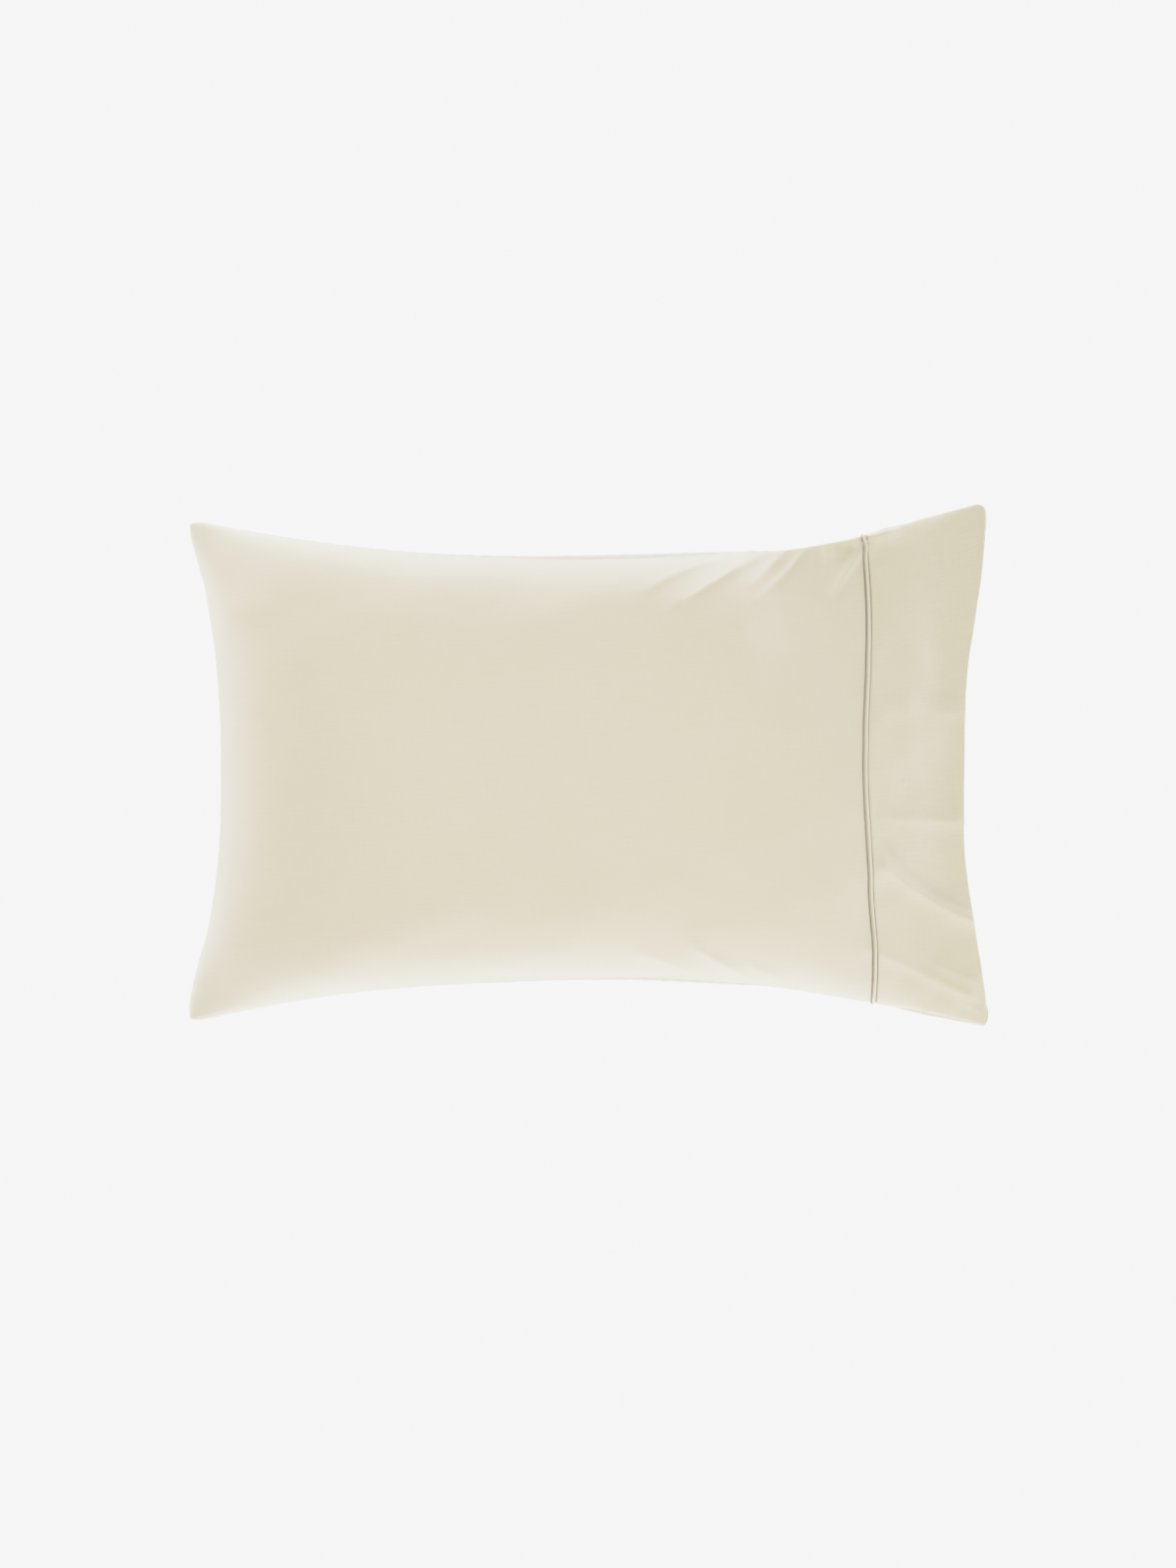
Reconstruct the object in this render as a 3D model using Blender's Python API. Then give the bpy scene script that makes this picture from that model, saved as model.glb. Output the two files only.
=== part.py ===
"""A filled pillowcase that lies on its back: the filled body, its cuff and the tuck between them.

Metres, +Z up, with the surface that the case lies on at z = 0. +X runs from the closed end
to the open mouth and +Y to the upper side seam. The origin is under the middle of the case.

Every piece is read from one surface, the case's outer skin. A place on the skin is an x, an
angle across the case (from -90 degrees at the lower side seam to +90 at the upper one) and a
panel: FRONT is the crown that faces up, BACK is the side that the case lies on.
"""

from collections import namedtuple

import bmesh
import bpy
import numpy as np
from mathutils import Matrix

MM = 0.001
WELD = 0.00002
FRONT = 1.0
BACK = -1.0

# Driving sizes, in millimetres
WALL = 2.2              # the cuff's cloth, doubled by its hem
PIECE_GAP = 0.35        # between two pieces that touch
CUFF_EDGE = 9.0         # solid cloth at each side seam of the cuff
END_ROUNDING_FRONT = 235.0   # length over which the crown rises from the closed end
END_ROUNDING_BACK = 205.0
END_FULLNESS = 2.45     # superellipse exponent of that rise
EAR_REACH = 62.0        # the ears at the closed end are flatter within this distance
EAR_SLACK = 0.42        # and by this share
SEAM_HOLD = 14          # how close to the side seams a fold may come: more is closer
FLOOR_SOFTNESS = 4.0    # the underside turns into its flat within this height
FILLING_END = 36.0      # how far the filling reaches into the cuff
FILLING_CLEARANCE = 1.2
FILLING_NARROWING = 0.14     # the filling's end is narrower than the cuff by this share
TUCK_WIDTH = 4.0
TUCK_HEIGHT = 1.5
FAR = 1000.0            # a distance from the closed end at which its rounding is over

FILLING_PLAN = 0.4      # and its two corners are rounded in plan by this share
JOIN_X = 249.0          # where the body's grid ends in the middle
END_RUN = 130.0         # the closed end's rows reach this far in
FOLDS_START = 20.0      # from here to the join the rows are close enough for the folds

# Grid sizes
BODY_ACROSS = 36
END_ROWS = 10
PLAIN_ROWS = 11
FOLDED_ROWS = 26
FILLING_ROWS = 5
CUFF_ACROSS = 46
CUFF_ALONG = 9
TUCK_ACROSS = 48
ANGLE_SPREAD = 1.2      # evens out the grid's steps across the case

# Sections along the case. top and bottom: the side seams' y. seam: their height above the
# surface. crown and depth: how far the front rises above the seams and the back hangs under
# them, in the middle. fullness: 2 is an ellipse, more is boxier.
Section = namedtuple("Section", "x top bottom seam crown depth fullness")
SECTIONS = (
    Section(-362, 224.2, -234.6, 52, 92, 97, 2.40),
    Section(-300, 211.0, -219.8, 63, 92, 97, 2.40),
    Section(-215, 198.4, -204.5, 72, 92, 97, 2.40),
    Section(-135, 191.0, -197.0, 76, 93, 97, 2.42),
    Section(-45, 187.6, -194.3, 78, 92, 98, 2.42),
    Section(45, 188.7, -192.9, 77, 92, 97, 2.40),
    Section(125, 192.8, -197.0, 75, 87, 91, 2.36),
    Section(160, 194.5, -199.4, 73, 81, 84, 2.33),
    Section(195, 199.4, -204.0, 71, 73, 74, 2.30),
    Section(249, 210.2, -213.7, 65, 54, 53, 2.20),
    Section(267, 216.0, -217.7, 62, 46, 45, 2.15),
    Section(285, 219.8, -221.2, 58, 38, 36, 2.10),
    Section(325, 230.8, -230.6, 48, 22, 22, 2.05),
    Section(364, 242.3, -239.6, 38, 16, 15, 2.00),
)

# The outline of the closed end, of the join and of the mouth: x at each share of the half
# width, from -1 at the lower side seam to 1 at the upper one.
EdgePoint = namedtuple("EdgePoint", "share x")
CLOSED_END = (
    EdgePoint(-1.0, -354.5), EdgePoint(-0.985, -361.5), EdgePoint(-0.955, -363.4),
    EdgePoint(-0.905, -362.6), EdgePoint(-0.83, -358.8), EdgePoint(-0.75, -353.6),
    EdgePoint(-0.67, -347.6), EdgePoint(-0.6, -344.0), EdgePoint(-0.44, -338.2),
    EdgePoint(-0.28, -334.6), EdgePoint(-0.13, -333.6), EdgePoint(0.03, -333.5),
    EdgePoint(0.18, -334.0), EdgePoint(0.34, -336.1), EdgePoint(0.49, -339.2),
    EdgePoint(0.65, -345.2), EdgePoint(0.73, -348.4), EdgePoint(0.8, -353.2),
    EdgePoint(0.88, -358.8), EdgePoint(0.955, -362.8), EdgePoint(0.985, -361.8),
    EdgePoint(1.0, -355.5),
)
JOIN = (
    EdgePoint(-1.0, 258.0), EdgePoint(-0.93, 258.0), EdgePoint(-0.8, 257.7),
    EdgePoint(-0.7, 256.6), EdgePoint(-0.6, 254.5), EdgePoint(-0.45, 252.1),
    EdgePoint(-0.27, 249.8), EdgePoint(-0.17, 248.2), EdgePoint(-0.06, 247.4),
    EdgePoint(0.06, 247.7), EdgePoint(0.25, 249.0), EdgePoint(0.37, 250.2),
    EdgePoint(0.52, 250.9), EdgePoint(0.72, 251.7), EdgePoint(0.84, 250.5),
    EdgePoint(0.92, 249.1), EdgePoint(1.0, 246.5),
)
MOUTH_FRONT = (
    EdgePoint(-1.0, 361.5), EdgePoint(-0.985, 364.5), EdgePoint(-0.93, 363.6),
    EdgePoint(-0.82, 359.6), EdgePoint(-0.67, 353.2), EdgePoint(-0.6, 350.2),
    EdgePoint(-0.51, 347.0), EdgePoint(-0.45, 345.1), EdgePoint(-0.38, 342.9),
    EdgePoint(-0.3, 341.6), EdgePoint(-0.15, 341.0), EdgePoint(0.0, 341.5),
    EdgePoint(0.15, 341.9), EdgePoint(0.3, 343.6), EdgePoint(0.45, 347.6),
    EdgePoint(0.53, 351.2), EdgePoint(0.62, 354.4), EdgePoint(0.7, 357.6),
    EdgePoint(0.82, 361.0), EdgePoint(0.9, 362.2), EdgePoint(0.955, 362.4),
    EdgePoint(0.985, 360.5), EdgePoint(1.0, 355.5),
)
MOUTH_BACK = (
    EdgePoint(-1.0, 361.5), EdgePoint(-0.985, 364.2), EdgePoint(-0.93, 363.0),
    EdgePoint(-0.82, 358.5), EdgePoint(-0.6, 349.2), EdgePoint(-0.45, 344.0),
    EdgePoint(-0.3, 340.2), EdgePoint(0.0, 340.0), EdgePoint(0.3, 342.2),
    EdgePoint(0.45, 346.4), EdgePoint(0.62, 354.2), EdgePoint(0.7, 358.2),
    EdgePoint(0.82, 362.5), EdgePoint(0.9, 364.2), EdgePoint(0.955, 364.6),
    EdgePoint(0.985, 362.0), EdgePoint(1.0, 355.5),
)

# Folds of the front panel, each from its strong end to the end where it dies away, in plan.
# bow: how far its middle lies to the left of that line. height is a ridge, or a trough where
# it is less than zero, with a soft foot at about 1.5 times the width. fade: the share of the
# height that is gone at the far end. The last four are on the cuff.
Fold = namedtuple("Fold", "x0 y0 x1 y1 bow width height fade")
FOLDS = (
    Fold(79, 185, 34, 170, -1, 9, 1.0, 1.0),
    Fold(119, 186, 66, 156, -2, 9, 1.9, 0.9),
    Fold(158, 189, 100, 150, -3, 10, 3.1, 0.9),
    Fold(181, 190, 148, 164, -2, 7, 2.3, 0.9),
    Fold(207, 196, 156, 152, -3, 12, 4.6, 0.9),
    Fold(238, 198, 206, 152, -2, 9, -3.2, 0.9),
    Fold(-49, -190, -104, -176, -2, 8, 1.7, 0.9),
    Fold(98, -190, 55, -173, -1, 7, 1.5, 0.9),
    Fold(175, -196, 100, -162, -3, 10, 2.6, 0.9),
    Fold(350, -142, 262, -86, 4, 10, 3.8, 0.5),
    Fold(361, -205, 266, -181, 1, 8, 2.0, 0.5),
    Fold(346, 47, 255, 49, 0, 12, 2.2, 0.6),
    Fold(346, -59, 255, -53, 0, 12, 2.4, 0.6),
)

# The tuck's section: shares of its width from the body to the cuff, and of its height.
ProfilePoint = namedtuple("ProfilePoint", "share height")
TUCK_PROFILE = (
    ProfilePoint(0.0, 0.0),
    ProfilePoint(0.04, 0.7),
    ProfilePoint(0.35, 1.0),
    ProfilePoint(0.7, 0.95),
    ProfilePoint(1.0, 0.5),
    ProfilePoint(1.0, 0.0),
)

CREAM = (0.76, 0.70, 0.56, 1.0)
CREAM_SHADE = (0.72, 0.66, 0.52, 1.0)


def smooth(at, knots, values):
    """A curve through the knots whose slopes are the average of their neighbours'."""
    knots = np.asarray(knots, float)
    values = np.asarray(values, float)
    slopes = np.gradient(values, knots)
    at = np.clip(at, knots[0], knots[-1])
    i = np.clip(np.searchsorted(knots, at) - 1, 0, len(knots) - 2)
    span = knots[i + 1] - knots[i]
    t = (at - knots[i]) / span
    return (
        (2 * t**3 - 3 * t**2 + 1) * values[i]
        + (t**3 - 2 * t**2 + t) * span * slopes[i]
        + (3 * t**2 - 2 * t**3) * values[i + 1]
        + (t**3 - t**2) * span * slopes[i + 1]
    )


def section(x, column):
    """One column of the sections at x."""
    return smooth(x, [row.x for row in SECTIONS], [getattr(row, column) for row in SECTIONS])


def across(x, angle):
    """The share of the half width at an angle: a superellipse's sine side."""
    sine = np.sin(angle)
    return np.sign(sine) * np.abs(sine) ** (2.0 / section(x, "fullness"))


def plan_y(x, angle, narrower=0.0):
    """The skin's y, or that of a skin inside it that is narrower at each side seam."""
    top = section(x, "top")
    bottom = section(x, "bottom")
    half = (top - bottom) / 2 - narrower
    return (top + bottom) / 2 + half * across(x, angle)


def outline(edge, angle):
    """An outline's x at each angle."""
    shares = across(np.full_like(angle, edge[0].x), angle)
    return smooth(shares, [point.share for point in edge], [point.x for point in edge])


def end_rise(distance, rounding):
    """How far the skin has risen, 0 to 1, at a distance from the closed end."""
    left = np.clip(1 - distance / rounding, 0, 1)
    return (1 - left**END_FULLNESS) ** (1 / END_FULLNESS)


def ear_flatness(x, y):
    """Less than 1 near the two corners of the closed end."""
    flatness = 1.0
    for corner_y in (SECTIONS[0].top, SECTIONS[0].bottom):
        away = np.hypot(x - SECTIONS[0].x, y - corner_y) / EAR_REACH
        flatness = flatness * (1 - EAR_SLACK * np.exp(-away**2))
    return flatness


def fold_height(x, y):
    """The folds' height at a place: a bell across each fold's line and past both its ends."""
    total = 0.0
    for fold in FOLDS:
        length = np.hypot(fold.x1 - fold.x0, fold.y1 - fold.y0)
        along_x = (fold.x1 - fold.x0) / length
        along_y = (fold.y1 - fold.y0) / length
        along = (x - fold.x0) * along_x + (y - fold.y0) * along_y
        share = np.clip(along / length, 0, 1)
        aside = (y - fold.y0) * along_x - (x - fold.x0) * along_y
        aside = aside - fold.bow * 4 * share * (1 - share)
        beyond = along - share * length
        strength = fold.height * (1 - fold.fade * share**2)
        total = total + strength * np.exp(-(aside**2 + beyond**2) / fold.width**2)
    return total


def on_surface(height):
    """Rests the underside: heights under 0 become 0, with a soft turn into the flat."""
    soft = FLOOR_SOFTNESS
    turn = (height + soft) ** 2 / (4 * soft)
    return np.where(height > soft, height, np.where(height < -soft, 0.0, turn))


def skin(x, angle, panel, from_end, inset=0.0, narrower=0.0):
    """Points of the skin, or of a skin inside it by inset in height and narrower in width."""
    y = plan_y(x, angle, narrower)
    rounding = END_ROUNDING_FRONT if panel == FRONT else END_ROUNDING_BACK
    column = "crown" if panel == FRONT else "depth"
    rise = np.abs(np.cos(angle)) ** (2.0 / section(x, "fullness"))
    rise = rise * end_rise(from_end, rounding) * ear_flatness(x, y)
    z = section(x, "seam") + panel * rise * (section(x, column) - inset)
    if panel == FRONT:
        z = z + fold_height(x, y) * (1 - np.abs(across(x, angle)) ** SEAM_HOLD)
    return np.stack((x, y, on_surface(z)), axis=-1)


def case_angles(count):
    """Angles from the lower to the upper side seam, for steps of about the same length."""
    share = np.linspace(-1, 1, count + 1)
    return np.pi / 2 * np.sign(share) * np.abs(share) ** ANGLE_SPREAD


def body_rows(angle):
    """The x of each row of the body's skin: the closed end, the plain run, the folded run."""
    start = outline(CLOSED_END, angle)
    join = outline(JOIN, angle)
    turn = np.linspace(0, np.pi / 2, END_ROWS + 1)[:, None]
    end = start + (1 - np.cos(turn)) * END_RUN
    split = join - (JOIN_X - FOLDS_START)
    plain = end[-1] + (split - end[-1]) * np.linspace(0, 1, PLAIN_ROWS + 1)[1:, None]
    folded = split + (join - split) * np.linspace(0, 1, FOLDED_ROWS + 1)[1:, None]
    return np.concatenate((end, plain, folded))


def filling_end(panel, angle, join):
    """The filling's rounded end: from the step in at the join to a line inside the cuff."""
    turn = np.linspace(0, np.pi / 2, FILLING_ROWS + 1)[:, None]
    plan = 1 - FILLING_PLAN * np.abs(np.sin(angle)) ** 8
    x = join + FILLING_END * np.sin(turn) * plan
    half = (section(x, "top") - section(x, "bottom")) / 2
    narrower = CUFF_EDGE + FILLING_CLEARANCE + half * FILLING_NARROWING * (1 - np.cos(turn))
    points = skin(x, angle, panel, FAR, WALL + FILLING_CLEARANCE, narrower)
    seam = section(x, "seam")
    points[..., 2] = seam + (points[..., 2] - seam) * np.cos(turn)
    return points


def body_panel(panel):
    """One panel of the body: its skin up to the join, then the filling's end."""
    angle = case_angles(BODY_ACROSS)
    x = body_rows(angle)
    outside = skin(x, angle, panel, x - x[0])
    return np.concatenate((outside, filling_end(panel, angle, x[-1])))


def cuff_panel(panel, inset=0.0, narrower=0.0):
    """One panel of the cuff, outside or inside."""
    angle = case_angles(CUFF_ACROSS)
    join = outline(JOIN, angle) + PIECE_GAP
    mouth = outline(MOUTH_FRONT if panel == FRONT else MOUTH_BACK, angle)
    x = join + (mouth - join) * np.linspace(0, 1, CUFF_ALONG + 1)[:, None]
    return skin(x, angle, panel, FAR, inset, narrower)


def add_grid(mesh, points):
    """Adds a grid of points as quads."""
    verts = [[mesh.verts.new(point * MM) for point in row] for row in points]
    for low, high in zip(verts[:-1], verts[1:]):
        for corners in zip(low[:-1], low[1:], high[1:], high[:-1]):
            mesh.faces.new(corners)


def finish(mesh, name, colour):
    """Welds a piece's grids, turns its faces out and makes its object and its cloth."""
    bmesh.ops.remove_doubles(mesh, verts=mesh.verts, dist=WELD)
    bmesh.ops.triangulate(mesh, faces=mesh.faces)
    bmesh.ops.recalc_face_normals(mesh, faces=mesh.faces)
    data = bpy.data.meshes.new(name)
    mesh.to_mesh(data)
    mesh.free()
    data.shade_smooth()
    material = bpy.data.materials.new(name + "_cloth")
    material.use_nodes = True
    shader = material.node_tree.nodes["Principled BSDF"]
    shader.inputs["Base Color"].default_value = colour
    shader.inputs["Roughness"].default_value = 0.85
    shader.inputs["Metallic"].default_value = 0.0
    data.materials.append(material)
    piece = bpy.data.objects.new(name, data)
    bpy.context.scene.collection.objects.link(piece)
    return piece


def make_body():
    """The filled body: both panels, welded along the seams and the filling's end."""
    mesh = bmesh.new()
    for panel in (FRONT, BACK):
        add_grid(mesh, body_panel(panel))
    return finish(mesh, "case_body", CREAM)


def make_cuff():
    """The hollow cuff: outer and inner sleeves, joined by a rim at each end."""
    mesh = bmesh.new()
    for panel in (FRONT, BACK):
        outer = cuff_panel(panel)
        inner = cuff_panel(panel, WALL, CUFF_EDGE)
        for grid in (outer, inner, (inner[0], outer[0]), (outer[-1], inner[-1])):
            add_grid(mesh, grid)
    return finish(mesh, "cuff", CREAM)


def ring(from_join):
    """A closed ring round the skin, a distance to the left of the join."""
    angle = case_angles(TUCK_ACROSS)
    x = outline(JOIN, angle) - from_join
    front = skin(x, angle, FRONT, FAR)
    back = skin(x, angle, BACK, FAR)
    return np.concatenate((front, back[-2:0:-1]))


def make_tuck():
    """The folded strip at the join: a low rounded section carried round the case."""
    left = ring(PIECE_GAP + TUCK_WIDTH)
    right = ring(PIECE_GAP)
    around = np.roll(right, -1, axis=0) - np.roll(right, 1, axis=0)
    normal = np.cross(right - left, around)
    normal = normal / np.linalg.norm(normal, axis=1)[:, None]
    rings = []
    for point in TUCK_PROFILE + TUCK_PROFILE[:1]:
        lift = PIECE_GAP + point.height * TUCK_HEIGHT
        rings.append(left + (right - left) * point.share + normal * lift)
    rings = np.array(rings)
    mesh = bmesh.new()
    add_grid(mesh, np.concatenate((rings, rings[:, :1]), axis=1))
    return finish(mesh, "join_tuck", CREAM_SHADE)


def centre(pieces):
    """Moves the pieces' meshes so that the middle of their plan is at the origin."""
    corners = np.array([vertex.co[:2] for piece in pieces for vertex in piece.data.vertices])
    middle = (corners.min(axis=0) + corners.max(axis=0)) / 2
    for piece in pieces:
        piece.data.transform(Matrix.Translation((-middle[0], -middle[1], 0.0)))


def main():
    for old in list(bpy.data.objects):
        bpy.data.objects.remove(old, do_unlink=True)
    centre([make_body(), make_cuff(), make_tuck()])


main()
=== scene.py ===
"""Dresses the pillowcase's solids: the filled body, its cuff, the tuck and the stitches.

The solids are a plain version of one surface, the case's outer skin. This script works the
same surface out again on fine grids, adds the seams, puckers and folds of the real cloth and
gives each piece its weave. Sizes are in millimetres of the pattern maker's plan, where x runs
from the closed end to the open mouth, and MM and PLAN_SHIFT take them to the frame.
"""

from __future__ import annotations

import logging
import math
from dataclasses import dataclass, field
from enum import Enum
from typing import Callable, Sequence

import bpy
import numpy as np
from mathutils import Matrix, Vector


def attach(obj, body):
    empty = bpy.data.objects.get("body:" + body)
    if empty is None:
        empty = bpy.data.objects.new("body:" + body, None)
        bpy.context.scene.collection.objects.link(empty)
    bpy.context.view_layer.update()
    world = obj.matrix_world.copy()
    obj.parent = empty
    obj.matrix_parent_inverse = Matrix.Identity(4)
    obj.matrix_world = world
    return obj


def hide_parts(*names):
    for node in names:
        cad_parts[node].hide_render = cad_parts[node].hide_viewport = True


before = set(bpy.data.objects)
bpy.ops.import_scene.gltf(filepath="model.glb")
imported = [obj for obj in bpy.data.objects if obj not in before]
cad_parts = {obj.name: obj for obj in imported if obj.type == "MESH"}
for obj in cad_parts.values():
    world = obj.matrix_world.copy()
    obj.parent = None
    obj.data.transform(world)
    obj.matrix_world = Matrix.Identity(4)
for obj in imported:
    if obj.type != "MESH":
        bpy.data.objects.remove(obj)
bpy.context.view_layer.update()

Array = np.ndarray
Colour = tuple[float, float, float]
Socket = bpy.types.NodeSocket
Link = Socket | float

MM = 0.001
PLAN_SHIFT = np.array([1.099, 0.378, 0.0])   # the plan's place in the frame, in millimetres
FLAT_HALF = 240.0     # half the cut width of one panel
log = logging.getLogger("pillowcase")


class Panel(Enum):
    """FRONT is the crown that faces up, BACK is the side that the case lies on."""

    FRONT = 1
    BACK = -1


@dataclass(frozen=True)
class Section:
    """The case cut across at x: its side seams' y and height, and how far it bulges.

    fullness is the exponent of its superellipse: 2 is an ellipse, more is boxier.
    """

    x: float
    top: float
    bottom: float
    seam: float
    crown: float
    depth: float
    fullness: float


@dataclass(frozen=True)
class EdgePoint:
    """A point of an edge in plan: x at a share of the half width, -1 at the lower seam."""

    share: float
    x: float


@dataclass(frozen=True)
class Roll:
    """How far a side seam is rolled on to the front at x: less than 0 is on to the back."""

    x: float
    size: float


@dataclass(frozen=True)
class Fold:
    """A soft fold of the front panel, from its strong end to the end where it dies away.

    bow is how far its middle lies to the left of that line, height a ridge, or a trough where
    it is less than zero. left and right are its widths on the two sides of its line, and fade
    the share of the height that is gone at the far end. shade is how much painted shade its
    line has, a darkness that stands for the shadow of a crease; with a height of 0 there is
    only that painted shade.
    """

    x0: float
    y0: float
    x1: float
    y1: float
    bow: float
    left: float
    right: float
    height: float
    fade: float
    # painted shade along the fold's line
    shade: float = 0.0


SECTIONS = (
    Section(-362, 224.2, -234.6, 52, 92, 97, 2.40),
    Section(-300, 211.0, -219.8, 63, 92, 97, 2.40),
    Section(-215, 198.4, -204.5, 72, 92, 97, 2.40),
    Section(-135, 191.0, -197.0, 76, 93, 97, 2.42),
    Section(-45, 187.6, -194.3, 78, 92, 98, 2.42),
    Section(45, 188.7, -192.9, 77, 92, 97, 2.40),
    Section(125, 192.8, -197.0, 75, 87, 91, 2.36),
    Section(160, 194.5, -199.4, 73, 81, 84, 2.33),
    Section(195, 199.4, -204.0, 71, 73, 74, 2.30),
    Section(249, 210.2, -213.7, 65, 54, 53, 2.20),
    Section(267, 216.0, -217.7, 62, 46, 45, 2.15),
    Section(285, 219.8, -221.2, 58, 38, 36, 2.10),
    Section(325, 230.8, -230.6, 48, 22, 22, 2.05),
    Section(364, 242.3, -239.6, 38, 16, 15, 2.00),
)
CLOSED_END = (
    EdgePoint(-1.0, -354.5), EdgePoint(-0.985, -361.5), EdgePoint(-0.955, -363.4),
    EdgePoint(-0.905, -362.6), EdgePoint(-0.83, -358.8), EdgePoint(-0.75, -353.6),
    EdgePoint(-0.67, -347.6), EdgePoint(-0.6, -344.0), EdgePoint(-0.44, -338.2),
    EdgePoint(-0.28, -334.6), EdgePoint(-0.13, -333.6), EdgePoint(0.03, -333.5),
    EdgePoint(0.18, -334.0), EdgePoint(0.34, -336.1), EdgePoint(0.49, -339.2),
    EdgePoint(0.65, -345.2), EdgePoint(0.73, -348.4), EdgePoint(0.8, -353.2),
    EdgePoint(0.88, -358.8), EdgePoint(0.955, -362.8), EdgePoint(0.985, -361.8),
    EdgePoint(1.0, -355.5),
)
JOIN = (
    EdgePoint(-1.0, 258.0), EdgePoint(-0.93, 258.0), EdgePoint(-0.8, 257.7),
    EdgePoint(-0.7, 256.6), EdgePoint(-0.6, 254.5), EdgePoint(-0.45, 252.1),
    EdgePoint(-0.27, 249.8), EdgePoint(-0.17, 248.2), EdgePoint(-0.06, 247.4),
    EdgePoint(0.06, 247.7), EdgePoint(0.25, 249.0), EdgePoint(0.37, 250.2),
    EdgePoint(0.52, 250.9), EdgePoint(0.72, 251.7), EdgePoint(0.84, 250.5),
    EdgePoint(0.92, 249.1), EdgePoint(1.0, 246.5),
)
MOUTH_FRONT = (
    EdgePoint(-1.0, 361.5), EdgePoint(-0.985, 364.5), EdgePoint(-0.93, 363.6),
    EdgePoint(-0.82, 359.6), EdgePoint(-0.67, 353.2), EdgePoint(-0.6, 350.2),
    EdgePoint(-0.51, 347.0), EdgePoint(-0.45, 345.1), EdgePoint(-0.38, 342.9),
    EdgePoint(-0.3, 341.6), EdgePoint(-0.15, 341.0), EdgePoint(0.0, 341.5),
    EdgePoint(0.15, 341.9), EdgePoint(0.3, 343.6), EdgePoint(0.45, 347.6),
    EdgePoint(0.53, 351.2), EdgePoint(0.62, 354.4), EdgePoint(0.7, 357.6),
    EdgePoint(0.82, 361.0), EdgePoint(0.9, 362.2), EdgePoint(0.955, 362.4),
    EdgePoint(0.985, 360.5), EdgePoint(1.0, 355.5),
)
MOUTH_BACK = (
    EdgePoint(-1.0, 361.5), EdgePoint(-0.985, 364.2), EdgePoint(-0.93, 363.0),
    EdgePoint(-0.82, 358.5), EdgePoint(-0.6, 349.2), EdgePoint(-0.45, 344.0),
    EdgePoint(-0.3, 340.2), EdgePoint(0.0, 340.0), EdgePoint(0.3, 342.2),
    EdgePoint(0.45, 346.4), EdgePoint(0.62, 354.2), EdgePoint(0.7, 358.2),
    EdgePoint(0.82, 362.5), EdgePoint(0.9, 364.2), EdgePoint(0.955, 364.6),
    EdgePoint(0.985, 362.0), EdgePoint(1.0, 355.5),
)
FOLDS = (
    Fold(91, 188, 56, 178, -1, 5, 5, 2.2, 0.8),
    Fold(126, 188, 53, 155, -4, 4, 6, 5.0, 0.6),
    Fold(159, 192, 87, 145, -1, 3, 10, 7.5, 0.5),
    Fold(179, 194, 145, 159, 0, 3.5, 3.5, 5.0, 0.6),
    Fold(195, 193, 149, 146, 2.5, 3.5, 3.5, 5.5, 0.6),
    Fold(246, 196, 220, 155, 0, 3.5, 4.5, 8.5, 0.6),
    Fold(236, 192, 228, 181, 0, 4, 4, -2.5, 0.8, 0.14),
    Fold(187, 192, 166, 167, 0, 3, 3, 0, 0.6, 0.10),
    Fold(243, 195, 205, 194, 0, 2.5, 3, 0, 0.5, 0.14),
    Fold(-49, -190, -104, -176, -2, 8, 8, 2.2, 0.9),
    Fold(98, -191, 45, -169, -2, 4, 5, 4.2, 0.7),
    Fold(149, -195, 93, -162, 0, 4, 5, 5.0, 0.7),
    Fold(176, -196, 137, -177, -1.5, 4, 4, 4.2, 0.7),
    Fold(78, -184, 43, -180, 0, 3, 3, -1.5, 0.8),
    Fold(348, -140, 266, -91, 3.5, 7, 8, 8.5, 0.4),
    Fold(347, -129, 265, -68, 9, 5, 5, 0, 0.5, 0.22),
    Fold(342, -49, 267, -46, 0, 2, 22, 0, 0.3, 0.13),
    Fold(342, 58, 267, 58, 0, 3, 22, 0, 0.3, 0.09),
    Fold(346, -210, 253, -165, 0, 6, 8, 4.2, 0.4),
    Fold(350, -196, 306, -177, 0, 6, 6, 2.2, 0.6),
    Fold(342, -50, 267, -46, 0, 7, 20, 4.6, 0.4),
    Fold(342, 50, 267, 49, 0, 9, 9, 3.4, 0.5),
    Fold(357, -225, 339, -215, 0, 3, 3, 1.2, 0.6),
    Fold(-184, 196, -200, 186, 0, 5, 5, 1.2, 0.8),
    Fold(-159, -196, -88, -178, 1, 7, 7, 1.0, 0.9),
    Fold(0, -180, 35, -190, 0, 6, 6, 1.0, 0.8),
)
UPPER_ROLL = (
    Roll(-350, 0.6), Roll(-310, 1.6), Roll(-230, 1.4), Roll(-170, 0.5), Roll(-120, 1.9),
    Roll(120, 2.1), Roll(150, -0.8), Roll(240, -0.6), Roll(258, 1.6), Roll(282, 1.6),
    Roll(300, -0.3), Roll(360, 0.0),
)
LOWER_ROLL = (
    Roll(-350, -0.8), Roll(-60, -0.8), Roll(-20, 1.3), Roll(160, 1.3), Roll(190, -0.8),
    Roll(260, -0.8), Roll(285, 1.6), Roll(345, 1.6), Roll(362, 0.0),
)


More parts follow.
